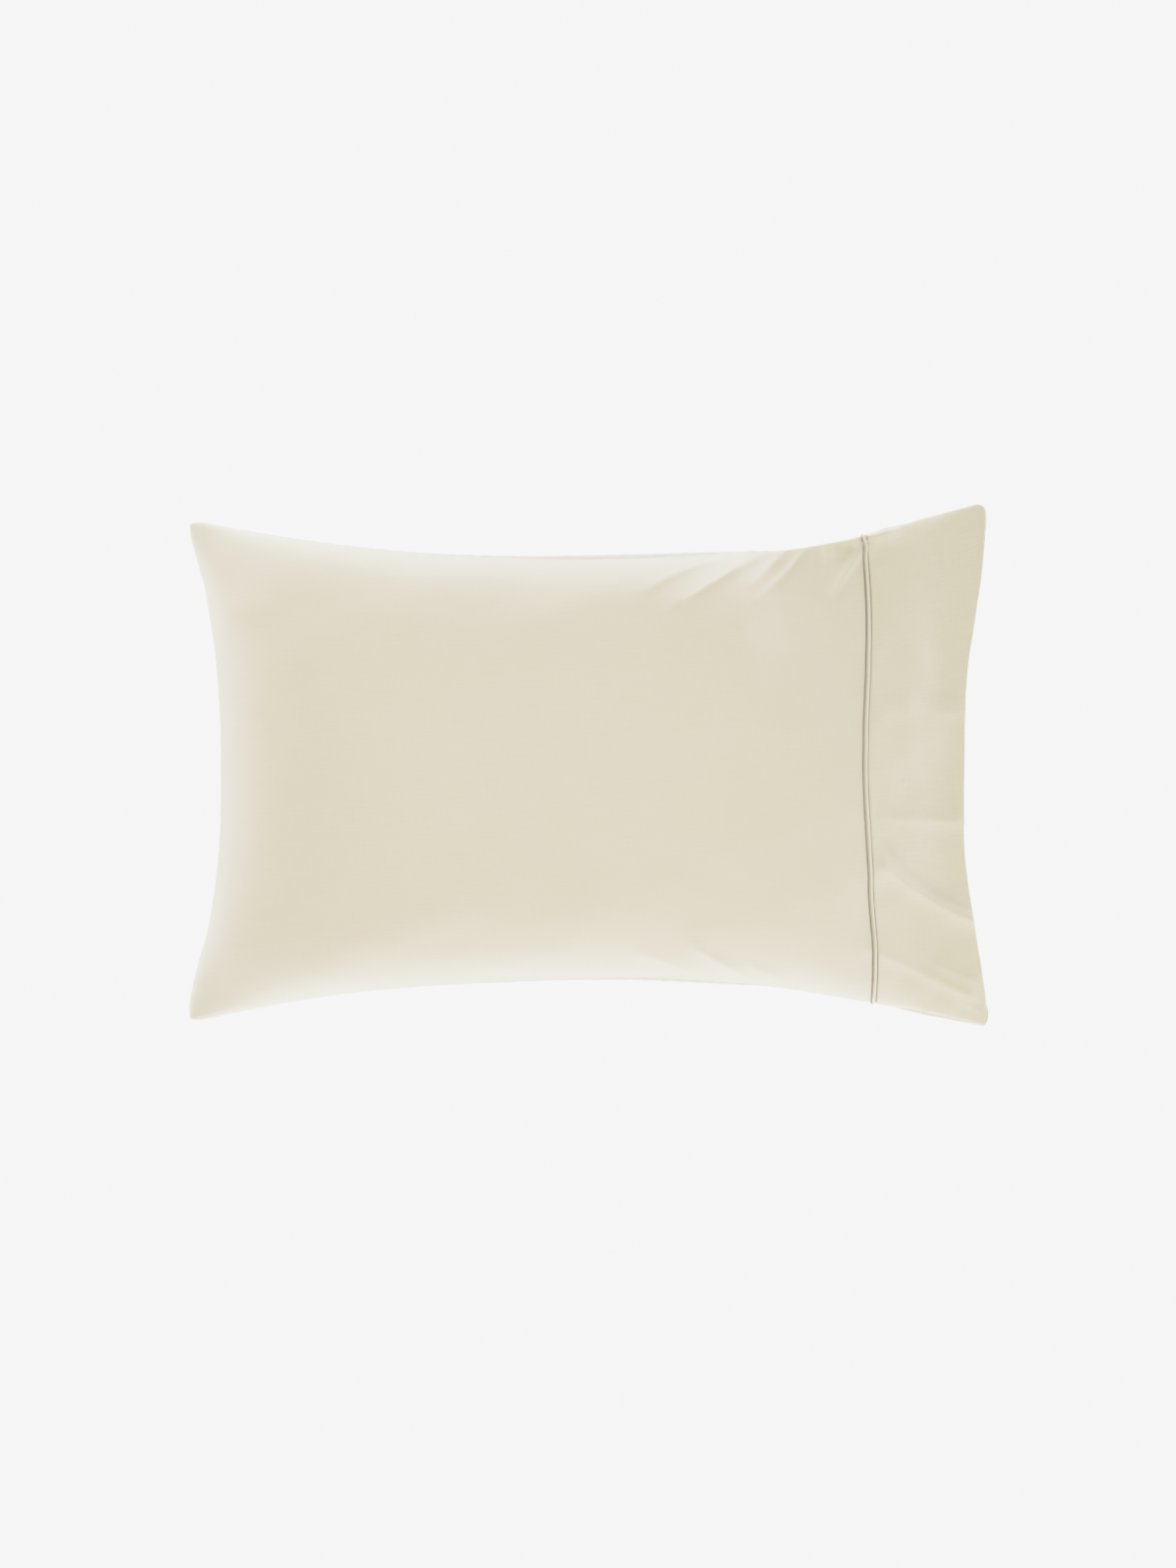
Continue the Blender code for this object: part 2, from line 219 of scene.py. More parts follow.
def smooth(at: Array, knots: Sequence[float], values: Sequence[float]) -> Array:
    """A curve through the knots, cubic between them, its slopes the knots' mean slopes.

    Args:
        at: where the curve is wanted; outside the knots it keeps the end value.
        knots: the places that are given, rising.
        values: the curve's value at each knot.

    Returns:
        The curve's value at each place of at.
    """
    knots = np.asarray(knots, float)
    values = np.asarray(values, float)
    slopes = np.gradient(values, knots)
    at = np.clip(at, knots[0], knots[-1])
    i = np.clip(np.searchsorted(knots, at) - 1, 0, len(knots) - 2)
    span = knots[i + 1] - knots[i]
    t = (at - knots[i]) / span
    return (
        (2 * t**3 - 3 * t**2 + 1) * values[i]
        + (t**3 - 2 * t**2 + t) * span * slopes[i]
        + (3 * t**2 - 2 * t**3) * values[i + 1]
        + (t**3 - t**2) * span * slopes[i + 1]
    )


def curve(table: Sequence[object], given: str, wanted: str, at: Array) -> Array:
    """The smooth curve through two columns of a table.

    Args:
        table: rows with named columns.
        given: the column that at is in, rising.
        wanted: the column that is read.
        at: where the curve is wanted.

    Returns:
        The wanted column's value at each place of at.
    """
    knots = [getattr(row, given) for row in table]
    return smooth(at, knots, [getattr(row, wanted) for row in table])


def bell(distance: Array, width: float) -> Array:
    """e to the minus (distance over width) squared: 1 at 0, fading on both sides."""
    return np.exp(-(distance / width) ** 2)


def hump(distance: Array, width: float) -> Array:
    """d/w times e to the 1 - d/w: 0 at the seam, 1 at the width, fading beyond it."""
    share = np.maximum(distance, 0) / width
    return share * np.exp(1 - share)


def step(at: Array, start: float, end: float) -> Array:
    """0 before the start, 1 after the end, a smooth step between them."""
    share = np.clip((at - start) / (end - start), 0, 1)
    return share * share * (3 - 2 * share)


def worn_less_painted_shade(worn: Array, painted_shade: Array) -> Array:
    """Both in one value: how worn the cloth is, less the painted shade of a crease."""
    return worn * (1 - painted_shade) - painted_shade


def unit(vectors: Array) -> Array:
    """The vectors at length 1; one of no length stays as it is."""
    length = np.linalg.norm(vectors, axis=-1, keepdims=True)
    return vectors / np.where(length == 0, 1, length)


def crowded(count: int, crowd: float) -> Array:
    """Shares from 0 to 1, closer near both ends: an even step mixed with a sine's."""
    s = np.linspace(-1, 1, count)
    return 0.5 + 0.5 * ((1 - crowd) * s + crowd * np.sin(math.pi / 2 * s))


def walked(points: Array, axis: int) -> Array:
    """The length walked over a grid of points, from its first row or column.

    Args:
        points: the grid, with the last axis x, y, z.
        axis: the axis of the grid that is walked along.

    Returns:
        The length at each point.
    """
    steps = np.linalg.norm(np.diff(points, axis=axis), axis=-1)
    start = np.zeros_like(np.take(steps, [0], axis=axis))
    return np.concatenate((start, np.cumsum(steps, axis=axis)), axis=axis)


@dataclass(frozen=True)
class Ripples:
    """Small unevenness of cloth: a sum of plane waves with seeded lengths and directions.

    length is the middle wavelength and height the usual size of the sum, in millimetres;
    stretch makes the waves longer in the first direction than in the second.
    """

    seed: int
    length: float
    height: float
    stretch: float = 1.0
    waves: int = 14
    octave: float = 0.8

    def at(self, first: Array, second: Array | float = 0.0) -> Array:
        """The sum, over the waves, of the sine of (first * a + second * b + phase).

        Args:
            first: places in the first direction, in millimetres.
            second: places in the second direction, for waves over a surface.

        Returns:
            The ripples' height at each place.
        """
        draw = np.random.default_rng(self.seed)
        turn = draw.uniform(0, math.pi, self.waves)
        size = self.length * 2 ** draw.uniform(-self.octave, self.octave, self.waves)
        phase = draw.uniform(0, 2 * math.pi, self.waves)
        flat = isinstance(second, float)
        total = np.zeros(np.broadcast(first, second).shape)
        for t, s, p in zip(turn, size, phase):
            a = 2 * math.pi / s * (1.0 if flat else math.cos(t) / self.stretch)
            b = 0.0 if flat else 2 * math.pi / s * math.sin(t)
            total += np.sin(first * a + second * b + p)
        return total * self.height * math.sqrt(2 / self.waves)


@dataclass(frozen=True)
class RippleStart:
    """Where along the ripples a part of the cloth starts, so that no two parts are alike."""

    closed_end: float = 900.0
    upper_seam: float = 2000.0
    back_seam: float = 5000.0
    back_filling: float = 400.0
    back_cuff: float = 300.0
    upper_wander: float = 700.0


@dataclass(frozen=True)
class SeamDetail:
    """What stitching does to the cloth beside the side seams and the closed end's seam."""

    groove: float = 1.3          # how far the thread pulls the filled body's seam in
    cuff_groove: float = 0.3     # and the flat cuff's
    groove_width: float = 1.3
    lip: float = 0.3             # how far the cloth stands up beside it
    lip_width: float = 4.0
    bead: float = 5.0            # the rolled rim beside the taut part of the upper seam
    bead_width: float = 4.5
    bead_span: tuple[float, float, float, float] = (200.0, 222.0, 268.0, 290.0)
    pucker: Ripples = Ripples(11, 13.0, 0.16)
    pucker_width: float = 7.0
    end_pucker: float = 1.5      # the end's puckers rule where the side is this much farther
    wander: Ripples = Ripples(12, 120.0, 0.7)
    wander_width: float = 25.0
    roll_width: float = 9.0      # over how much cloth the rolled seam bulges, on the body
    cuff_roll_width: float = 2.0
    roll_inwards: float = 0.6    # how much of the roll pulls the seam itself in
    body_ends: float = 240.0     # where the body's values start to turn into the cuff's
    cuff_starts: float = 290.0

    def bead_height(self, x: Array, angle: Array, side: Array) -> Array:
        """The rolled rim's height, a hump beside its span of the upper seam.

        Args:
            x: places along the case.
            angle: places across it.
            side: the distance to the side seam.

        Returns:
            The height at each place.
        """
        rises, full, falls, gone = self.bead_span
        share = (step(x, rises, full) - step(x, falls, gone)) * (angle > 0)
        return self.bead * share * hump(side, self.bead_width)

    def on_body(self, x: Array) -> Array:
        """1 on the body and 0 on the cuff, with a smooth step between them."""
        return 1 - step(x, self.body_ends, self.cuff_starts)


@dataclass(frozen=True)
class CaseSkin:
    """The outer skin of the whole case: a place on it is an x, an angle and a panel.

    The angle goes across the case, from -90 degrees at the lower side seam to +90 at the
    upper one. Across, each section is a superellipse. Along, the closed end rises on a
    superellipse of its own, over end_rounding. The folds are added to the front's height.
    """

    end_rounding: dict[Panel, float] = field(
        default_factory=lambda: {Panel.FRONT: 235.0, Panel.BACK: 205.0})
    end_fullness: float = 2.45
    ear_reach: float = 62.0      # how far from its corner an ear is flatter than the rest
    ear_slack: float = 0.42      # and how much flatter, at the corner
    corner_power: int = 4        # how sharply a corner's two seams meet, for the nearer one
    least_distance: float = 0.01
    seam_hold: float = 14.0      # how close to the seam the folds still run
    fold_crest: float = 1.4      # over how much cloth a fold's crest is round
    floor_softness: float = 4.0
    taut: tuple[float, float, float, float] = (130.0, 185.0, 255.0, 310.0)
    taut_lift: float = 23.0      # how much higher the upper seam is where it is pulled taut
    taut_inwards: float = 0.062  # and how far it comes in for each millimetre of that
    taut_hold: int = 6           # how close to the seam that lift stays
    seam: SeamDetail = SeamDetail()
    start: RippleStart = RippleStart()
    lumps: Ripples = Ripples(21, 105.0, 0.55, 1.3)
    drape: Ripples = Ripples(22, 42.0, 0.16, 1.5)
    lumps_from_seam: float = 30.0
    walk_steps: int = 1401       # the fine places in which a row is measured
    walk_crowd: float = 1.5      # the power by which they are closer at its ends

    def section(self, x: Array, column: str) -> Array:
        """One column of the sections at x."""
        return curve(SECTIONS, "x", column, x)

    def across(self, x: Array, angle: Array) -> Array:
        """The share of the half width: the sine's size to the power 2 / fullness, signed."""
        sine = np.sin(angle)
        return np.sign(sine) * np.abs(sine) ** (2 / self.section(x, "fullness"))

    def outline(self, edge: Sequence[EdgePoint], angle: Array) -> Array:
        """The x of an edge at each angle."""
        shares = self.across(np.full_like(angle, edge[0].x), angle)
        return curve(edge, "share", "x", shares)

    def tautness(self, x: Array, angle: Array) -> Array:
        """How taut the upper seam is pulled near the join: from 0 up to 1 and back to 0."""
        rises, full, falls, slack = self.taut
        return (step(x, rises, full) - step(x, falls, slack)) * (angle > 0)

    def fold_sum(self, x: Array, y: Array, column: str) -> Array:
        """One column of the folds, summed in plan: e to the -distance / width of each line.

        The distance is rounded off within fold_crest of the line, so that the crest is soft.

        Args:
            x: places along the case.
            y: places across it.
            column: height or shade.

        Returns:
            The sum at each place.
        """
        total = np.zeros(np.broadcast(x, y).shape)
        for fold in FOLDS:
            length = math.hypot(fold.x1 - fold.x0, fold.y1 - fold.y0)
            along_x = (fold.x1 - fold.x0) / length
            along_y = (fold.y1 - fold.y0) / length
            along = (x - fold.x0) * along_x + (y - fold.y0) * along_y
            share = np.clip(along / length, 0, 1)
            aside = (y - fold.y0) * along_x - (x - fold.x0) * along_y
            aside = aside - fold.bow * 4 * share * (1 - share)
            beyond = along - share * length
            width = np.where(aside > 0, fold.left, fold.right)
            strength = getattr(fold, column) * (1 - fold.fade * share**2)
            away = np.sqrt(aside**2 + beyond**2 + self.fold_crest**2) - self.fold_crest
            total = total + strength * np.exp(-away / width)
        return total

    def on_floor(self, height: Array) -> Array:
        """Rests the underside: heights under 0 become 0, with a parabola into the flat.

        Args:
            height: heights over the floor.

        Returns:
            The heights, none under 0.
        """
        soft = self.floor_softness
        turn = (height + soft) ** 2 / (4 * soft)
        return np.where(height > soft, height, np.where(height < -soft, 0.0, turn))

    def plain(self, x: Array, angle: Array, panel: Panel, inset: float = 0.0,
              narrower: Array | float = 0.0) -> Array:
        """The skin before sewing has marked it: the solids' shape, with finer folds.

        y is the middle of the section plus the half width times the across share. z is the
        seam's height plus or minus the bulge times the cosine's size to the power
        2 / fullness, times the rise of the closed end and the flatness of its two ears. Where
        the upper seam is taut, it is lifted and the power goes up to 2, a parabola.

        Args:
            x: places along the case.
            angle: places across it.
            panel: which panel.
            inset: how much less the skin bulges, for a surface inside it.
            narrower: how much less its half width is.

        Returns:
            Points, with the last axis x, y, z.
        """
        top, bottom = self.section(x, "top"), self.section(x, "bottom")
        across = self.across(x, angle)
        y = (top + bottom) / 2 + ((top - bottom) / 2 - narrower) * across
        from_end = x - self.outline(CLOSED_END, angle)
        left = np.clip(1 - from_end / self.end_rounding[panel], 0, 1)
        rise = (1 - left**self.end_fullness) ** (1 / self.end_fullness)
        for corner_y in (SECTIONS[0].top, SECTIONS[0].bottom):
            away = np.hypot(x - SECTIONS[0].x, y - corner_y) / self.ear_reach
            rise = rise * (1 - self.ear_slack * bell(away, 1))
        taut = self.tautness(x, angle)
        fullness = self.section(x, "fullness")
        rise = rise * np.abs(np.cos(angle)) ** (2 / fullness * (1 + taut * (fullness - 1)))
        bulge = self.section(x, "crown" if panel is Panel.FRONT else "depth") - inset
        lifted = self.taut_lift * taut * np.abs(across) ** self.taut_hold
        y = y - self.taut_inwards * lifted
        z = self.section(x, "seam") + lifted + panel.value * rise * bulge
        if panel is Panel.FRONT:
            z = z + self.fold_sum(x, y, "height") * (1 - np.abs(across) ** self.seam_hold)
        return np.stack((np.broadcast_to(x, z.shape), y, self.on_floor(z)), axis=-1)

    def seam_distance(self, x: Array, angle: Array, points: Array) -> tuple[Array, Array]:
        """How far points are from the nearest seam, straight through the air.

        Args:
            x: the points' x.
            angle: their angle.
            points: the points themselves.

        Returns:
            The distance to the nearer of the side seam and the closed end's seam, rounded off
            between the two, and the distance to the side seam alone.
        """
        lift = self.taut_lift * self.tautness(x, angle)
        seam_y = np.where(angle > 0, self.section(x, "top"), self.section(x, "bottom"))
        seam_y = seam_y - self.taut_inwards * lift
        drop = points[..., 2] - self.section(x, "seam") - lift
        side = np.hypot(points[..., 1] - seam_y, drop)
        end = np.hypot(x - self.outline(CLOSED_END, angle), drop)
        power = self.corner_power
        both = sum(np.maximum(away, self.least_distance) ** -power for away in (side, end))
        return both ** (-1 / power), side

    def normals(self, x: Array, angle: Array, panel: Panel) -> Array:
        """Outward normals: the cross of small moves along and across, inside the panel.

        Args:
            x: places along the case.
            angle: places across it.
            panel: which panel.

        Returns:
            A normal of length 1 at each place.
        """
        move, turn = 0.3, 0.002      # millimetres and radians
        start = self.outline(CLOSED_END, angle)
        ahead = self.plain(x + move, angle, panel)
        behind = self.plain(np.maximum(x - move, start), angle, panel)
        upper = self.plain(x, np.minimum(angle + turn, math.pi / 2), panel)
        lower = self.plain(x, np.maximum(angle - turn, -math.pi / 2), panel)
        return unit(np.cross(ahead - behind, upper - lower) * panel.value)

    def seam_roll(self, x: Array, angle: Array) -> Array:
        """How far the seam is rolled on to the front, in millimetres, at each side."""
        upper, lower = (curve(table, "x", "size", x) for table in (UPPER_ROLL, LOWER_ROLL))
        return np.where(angle > 0, upper, lower)

    def dressed(self, x: Array, angle: Array, panel: Panel, extra: Array | float = 0.0) -> Array:
        """The skin with what sewing and filling do to the cloth.

        Along the normal go the seam's groove and lips, puckers that fade away from the seam,
        the filling's lumps and the extra height. The side seam is also rolled: it lies a
        little inside the outline, and one panel bulges past it. Nothing goes under the floor.

        Args:
            x: places along the case.
            angle: places across it.
            panel: which panel.
            extra: height along the normal that belongs to the piece alone.

        Returns:
            Points, with the last axis x, y, z.
        """
        detail, start = self.seam, self.start
        upper, on_back = angle > 0, panel is Panel.BACK
        points = self.plain(x, angle, panel)
        near, side = self.seam_distance(x, angle, points)
        along = np.where(side < near * detail.end_pucker, x, points[..., 1] + start.closed_end)
        along = along + start.upper_seam * upper + start.back_seam * on_back
        on_body = detail.on_body(x)
        groove = detail.cuff_groove + (detail.groove - detail.cuff_groove) * on_body
        height = -groove * bell(near, detail.groove_width)
        height = height + detail.lip * on_body * hump(near, detail.lip_width)
        height = height + detail.bead_height(x, angle, side) * (panel is Panel.FRONT)
        height = height + detail.pucker.at(along) * hump(near, detail.pucker_width)
        calm = 1 - bell(near, self.lumps_from_seam)
        offset = start.back_filling * on_back
        for ripples in (self.lumps, self.drape):
            height = height + calm * ripples.at(x + offset, points[..., 1])
        points = points + self.normals(x, angle, panel) * (height + extra)[..., None]
        roll = self.seam_roll(x, angle)
        width = detail.cuff_roll_width + (detail.roll_width - detail.cuff_roll_width) * on_body
        past = np.where(roll * panel.value < 0, np.abs(roll), 0) * hump(side, width)
        past = past - detail.roll_inwards * np.abs(roll) * bell(side, 2 * width)
        points[..., 1] += np.sign(angle) * past
        wander = detail.wander.at(x + start.upper_wander * upper)
        points[..., 2] += wander * bell(side, detail.wander_width)
        points[..., 2] = np.maximum(points[..., 2], 0.0)
        return points

    def even_angles(self, rows: Callable[[Array], Array], panel: Panel, shares: Array) -> Array:
        """Angles at equal shares of each row's length over the cloth.

        Each row is walked in fine steps, its length summed, and the wanted shares of the
        length looked up. All rows are looked up at once, each on its own stretch of numbers.

        Args:
            rows: gives the x of every row at an array of angles.
            panel: which panel the rows run over.
            shares: the wanted shares, from 0 at the lower seam to 1 at the upper one.

        Returns:
            An angle for each row and share.
        """
        t = np.linspace(-1, 1, self.walk_steps)
        fine = math.pi / 2 * np.sign(t) * (1 - (1 - np.abs(t)) ** self.walk_crowd)
        points = self.plain(rows(fine), fine, panel)
        length = walked(points, 1)
        length = length / length[:, -1:]
        stretch = 2.0 * np.arange(len(length))[:, None]
        angles = np.broadcast_to(fine, length.shape)
        found = np.interp((shares + stretch).ravel(), (length + stretch).ravel(), angles.ravel())
        return found.reshape(len(length), -1)


def wrapped(grid: Array) -> Array:
    """The grid with its first row and column once more at its end, which closes it."""
    grid = np.concatenate((grid, grid[:1]))
    return np.concatenate((grid, grid[:, :1]), axis=1)


def flat_across(count: int, crowd: float) -> Array:
    """Crowded places across a panel's flat cloth, in millimetres from its middle."""
    return (crowded(count, crowd) * 2 - 1) * FLAT_HALF


def flat_places(along: Array, across: Array) -> Array:
    """Places in the cloth's flat pattern, in metres, from millimetres along and across."""
    return np.stack((along, np.broadcast_to(across, along.shape)), axis=-1) * MM


@dataclass
class ClothMesh:
    """Grids of one piece of cloth, gathered into one mesh.

    Each grid brings the number that each of its points has in the mesh, its place in the
    cloth's own flat pattern (metres, for the weave) and the finish of its faces.
    """

    quads: list[Array] = field(default_factory=list)
    pattern: list[Array] = field(default_factory=list)
    finish: list[Array] = field(default_factory=list)

    def add_grid(self, numbers: Array, pattern: Array, finish: int, outward: bool) -> None:
        """Adds the faces of one grid.

        Args:
            numbers: the mesh's number of each grid point, rows by columns.
            pattern: the flat place of each grid point, in metres.
            finish: the material slot's number.
            outward: True where rows crossed with columns point outwards.
        """
        corners = [np.s_[:-1, :-1], np.s_[1:, :-1], np.s_[1:, 1:], np.s_[:-1, 1:]]
        if not outward:
            corners.reverse()
        self.quads.append(np.stack([numbers[c].ravel() for c in corners], axis=1))
        self.pattern.append(np.stack([pattern[c].reshape(-1, 2) for c in corners], axis=1))
        self.finish.append(np.full(len(self.quads[-1]), finish))

    def build(self, name: str, points: Array, edge: Array,
              finishes: Sequence[bpy.types.Material]) -> bpy.types.Object:
        """Makes the object.

        Args:
            name: the piece's name.
            points: every point of the mesh, in the plan's millimetres.
            edge: how worn and pressed the cloth is at each point, up to 1, or how much
            painted shade of a crease it has, down to -1.
            finishes: the materials, in the order of the grids' finish numbers.

        Returns:
            The new object, at the origin and smooth.
        """
        quads = np.concatenate(self.quads)
        mesh = bpy.data.meshes.new(name)
        mesh.vertices.add(len(points))
        mesh.vertices.foreach_set("co", ((points - PLAN_SHIFT) * MM).astype(np.float32).ravel())
        mesh.loops.add(quads.size)
        mesh.loops.foreach_set("vertex_index", quads.astype(np.int32).ravel())
        mesh.polygons.add(len(quads))
        mesh.polygons.foreach_set("loop_start", np.arange(0, quads.size, 4, dtype=np.int32))
        mesh.polygons.foreach_set("material_index", np.concatenate(self.finish).astype(np.int32))
        mesh.update(calc_edges=True)
        layer = mesh.uv_layers.new(name="cloth_pattern")
        layer.uv.foreach_set("vector", np.concatenate(self.pattern).astype(np.float32).ravel())
        # wear above 0, painted shade below 0
        worn = mesh.attributes.new("pressed_edge_and_painted_shade", "FLOAT", "POINT")
        worn.data.foreach_set("value", np.clip(edge, -1, 1).astype(np.float32).ravel())
        mesh.shade_smooth()
        mesh.validate()
        for finish in finishes:
            mesh.materials.append(finish)
        piece = bpy.data.objects.new(name, mesh)
        bpy.context.scene.collection.objects.link(piece)
        return piece


class NodeBoard:
    """A node tree that is filled by calls, each of which gives back a socket or a node."""

    def __init__(self, tree: bpy.types.NodeTree) -> None:
        """Keeps the tree."""
        self.tree = tree

    def add(self, kind: str, settings: dict | None = None, **inputs: Link) -> bpy.types.Node:
        """Adds a node.

        Args:
            kind: the node's type name, without ShaderNode.
            settings: its properties.
            inputs: its sockets by name, underscores for spaces; a socket is linked, a value set.

        Returns:
            The node.
        """
        node = self.tree.nodes.new("ShaderNode" + kind)
        for key, value in (settings or {}).items():
            setattr(node, key, value)
        for key, value in inputs.items():
            self.plug(value, node.inputs[key.replace("_", " ")])
        return node

    def plug(self, value: Link, socket: Socket) -> None:
        """Links a socket to another, or sets its value."""
        if isinstance(value, bpy.types.NodeSocket):
            self.tree.links.new(value, socket)
        else:
            socket.default_value = value

    def sum(self, operation: str, *terms: Link) -> Socket:
        """Adds a Math node.

        Args:
            operation: what it does.
            terms: up to three sockets or numbers.

        Returns:
            Its result.
        """
        node = self.tree.nodes.new("ShaderNodeMath")
        node.operation = operation
        for term, socket in zip(terms, node.inputs):
            self.plug(term, socket)
        return node.outputs[0]

    def blend(self, share: Link, first: Link, second: Link, kind: str = "RGBA",
              way: str = "MIX") -> Socket:
        """Adds a Mix node.

        Args:
            share: how much of the second is in the mix.
            first: the first colour or number.
            second: the second one.
            kind: RGBA for colours, FLOAT for numbers.
            way: how colours are blended.

        Returns:
            The mix.
        """
        node = self.tree.nodes.new("ShaderNodeMix")
        node.data_type = kind
        if kind == "RGBA":
            node.blend_type = way
        sockets = [s for s in node.inputs if s.enabled]
        for value, socket in zip((share, first, second), sockets):
            self.plug(value, socket)
        return next(s for s in node.outputs if s.enabled)

    def spread(self, value: Link, low: float, high: float, to_low: Link = 0.0,
               to_high: Link = 1.0) -> Socket:
        """Adds a clamped Map Range node: from low..high to to_low..to_high.

        Args:
            value: what is mapped.
            low: the value that gives to_low.
            high: the value that gives to_high.
            to_low: the result at the low end.
            to_high: the result at the high end.

        Returns:
            The result.
        """
        node = self.add("MapRange", {"clamp": True})
        for item, socket in zip((value, low, high, to_low, to_high), node.inputs):
            self.plug(item, socket)
        return node.outputs[0]


@dataclass(frozen=True)
class PlainWeave:
    """The plain weave that every cloth here shares, made once as a node group.

    With a and b the sines of pi times the flat place over the pitch, a warp thread lies on
    top where a * b is above zero and a weft thread elsewhere; the top thread's height is the
    size of its own sine, rounded towards its crossings. Thicker threads run as streaks,
    which are noise stretched along each thread direction. Mottle is slow, cloudy variation.
    """

    pitch: float = 0.0005        # one thread, in metres, where the cloth gives no pitch
    streak_length: float = 0.03  # in metres
    bend: float = 0.9            # how far the threads wander, in threads
    bend_scale: float = 160.0
    bend_detail: float = 1.0
    crossing: float = 0.12       # how softly one thread goes under the other
    dip: float = 0.55            # a thread's height where it dives, against its middle
    streak_width: float = 0.0011
    streak_detail: float = 2.5
    streak_roughness: float = 0.6
    weft_streaks: float = 0.6    # how strong the weft's streaks are against the warp's
    mottle_scale: float = 9.0
    mottle_detail: float = 3.0
    mottle_roughness: float = 0.55

    def noise(self, board: NodeBoard, place: Socket, scale: float, detail: float,
              roughness: float = 0.5) -> Socket:
        """A flat noise, less its middle value.

        Args:
            board: where the nodes go.
            place: the flat place.
            scale: how fine the noise is.
            detail: how many finer layers it has.
            roughness: how strong those are.

        Returns:
            The noise, from about -0.5 to 0.5.
        """
        made = board.add("TexNoise", {"noise_dimensions": "2D"}, Vector=place, Scale=scale,
                         Detail=detail, Roughness=roughness)
        return board.sum("SUBTRACT", made.outputs["Fac"], 0.5)

    def streaks(self, board: NodeBoard, long_way: Socket, thin_way: Socket,
                length: Socket) -> Socket:
        """Noise drawn out along one thread direction.

        Args:
            board: where the nodes go.
            long_way: the flat place along the threads.
            thin_way: the flat place across them.
            length: how long a streak is.

        Returns:
            The streaks.
        """
        flat = board.add("CombineXYZ", X=board.sum("DIVIDE", long_way, length),
                         Y=board.sum("DIVIDE", thin_way, self.streak_width))
        return self.noise(board, flat.outputs[0], 1.0, self.streak_detail, self.streak_roughness)

    def group(self) -> bpy.types.NodeTree:
        """Makes the group.

        Returns:
            The group: Pattern, Pitch and Streak Length in; Height, Streak and Mottle out.
        """
        tree = bpy.data.node_groups.new("plain_weave", "ShaderNodeTree")
        face = tree.interface
        face.new_socket("Pattern", in_out="INPUT", socket_type="NodeSocketVector")
        for name, value in (("Pitch", self.pitch), ("Streak Length", self.streak_length)):
            socket = face.new_socket(name, in_out="INPUT", socket_type="NodeSocketFloat")
            socket.default_value = value
        for name in ("Height", "Streak", "Mottle"):
            face.new_socket(name, in_out="OUTPUT", socket_type="NodeSocketFloat")
        board = NodeBoard(tree)
        given = tree.nodes.new("NodeGroupInput").outputs
        wanted = tree.nodes.new("NodeGroupOutput").inputs
        place = board.add("SeparateXYZ", Vector=given["Pattern"])
        u, v = place.outputs["X"], place.outputs["Y"]
        wander = self.noise(board, given["Pattern"], self.bend_scale, self.bend_detail)
        shake = board.sum("MULTIPLY", wander, self.bend)
        a, b = (board.sum("SINE", board.sum("MULTIPLY", board.sum(
            "ADD", board.sum("DIVIDE", way, given["Pitch"]), shake), math.pi)) for way in (u, v))
        warp = board.spread(board.sum("MULTIPLY", a, b), -self.crossing, self.crossing)
        size_a, size_b = board.sum("ABSOLUTE", a), board.sum("ABSOLUTE", b)
        top_warp = board.sum("MULTIPLY", size_b, board.spread(size_a, 0, 1, self.dip, 1.0))
        top_weft = board.sum("MULTIPLY", size_a, board.spread(size_b, 0, 1, self.dip, 1.0))
        board.plug(board.blend(warp, top_weft, top_warp, "FLOAT"), wanted["Height"])
        length = given["Streak Length"]
        warp_streaks = self.streaks(board, u, v, length)
        weft_streaks = self.streaks(board, v, u, length)
        board.plug(board.sum("MULTIPLY_ADD", weft_streaks, self.weft_streaks, warp_streaks),
                   wanted["Streak"])
        board.plug(self.noise(board, given["Pattern"], self.mottle_scale, self.mottle_detail,
                              self.mottle_roughness), wanted["Mottle"])
        return tree


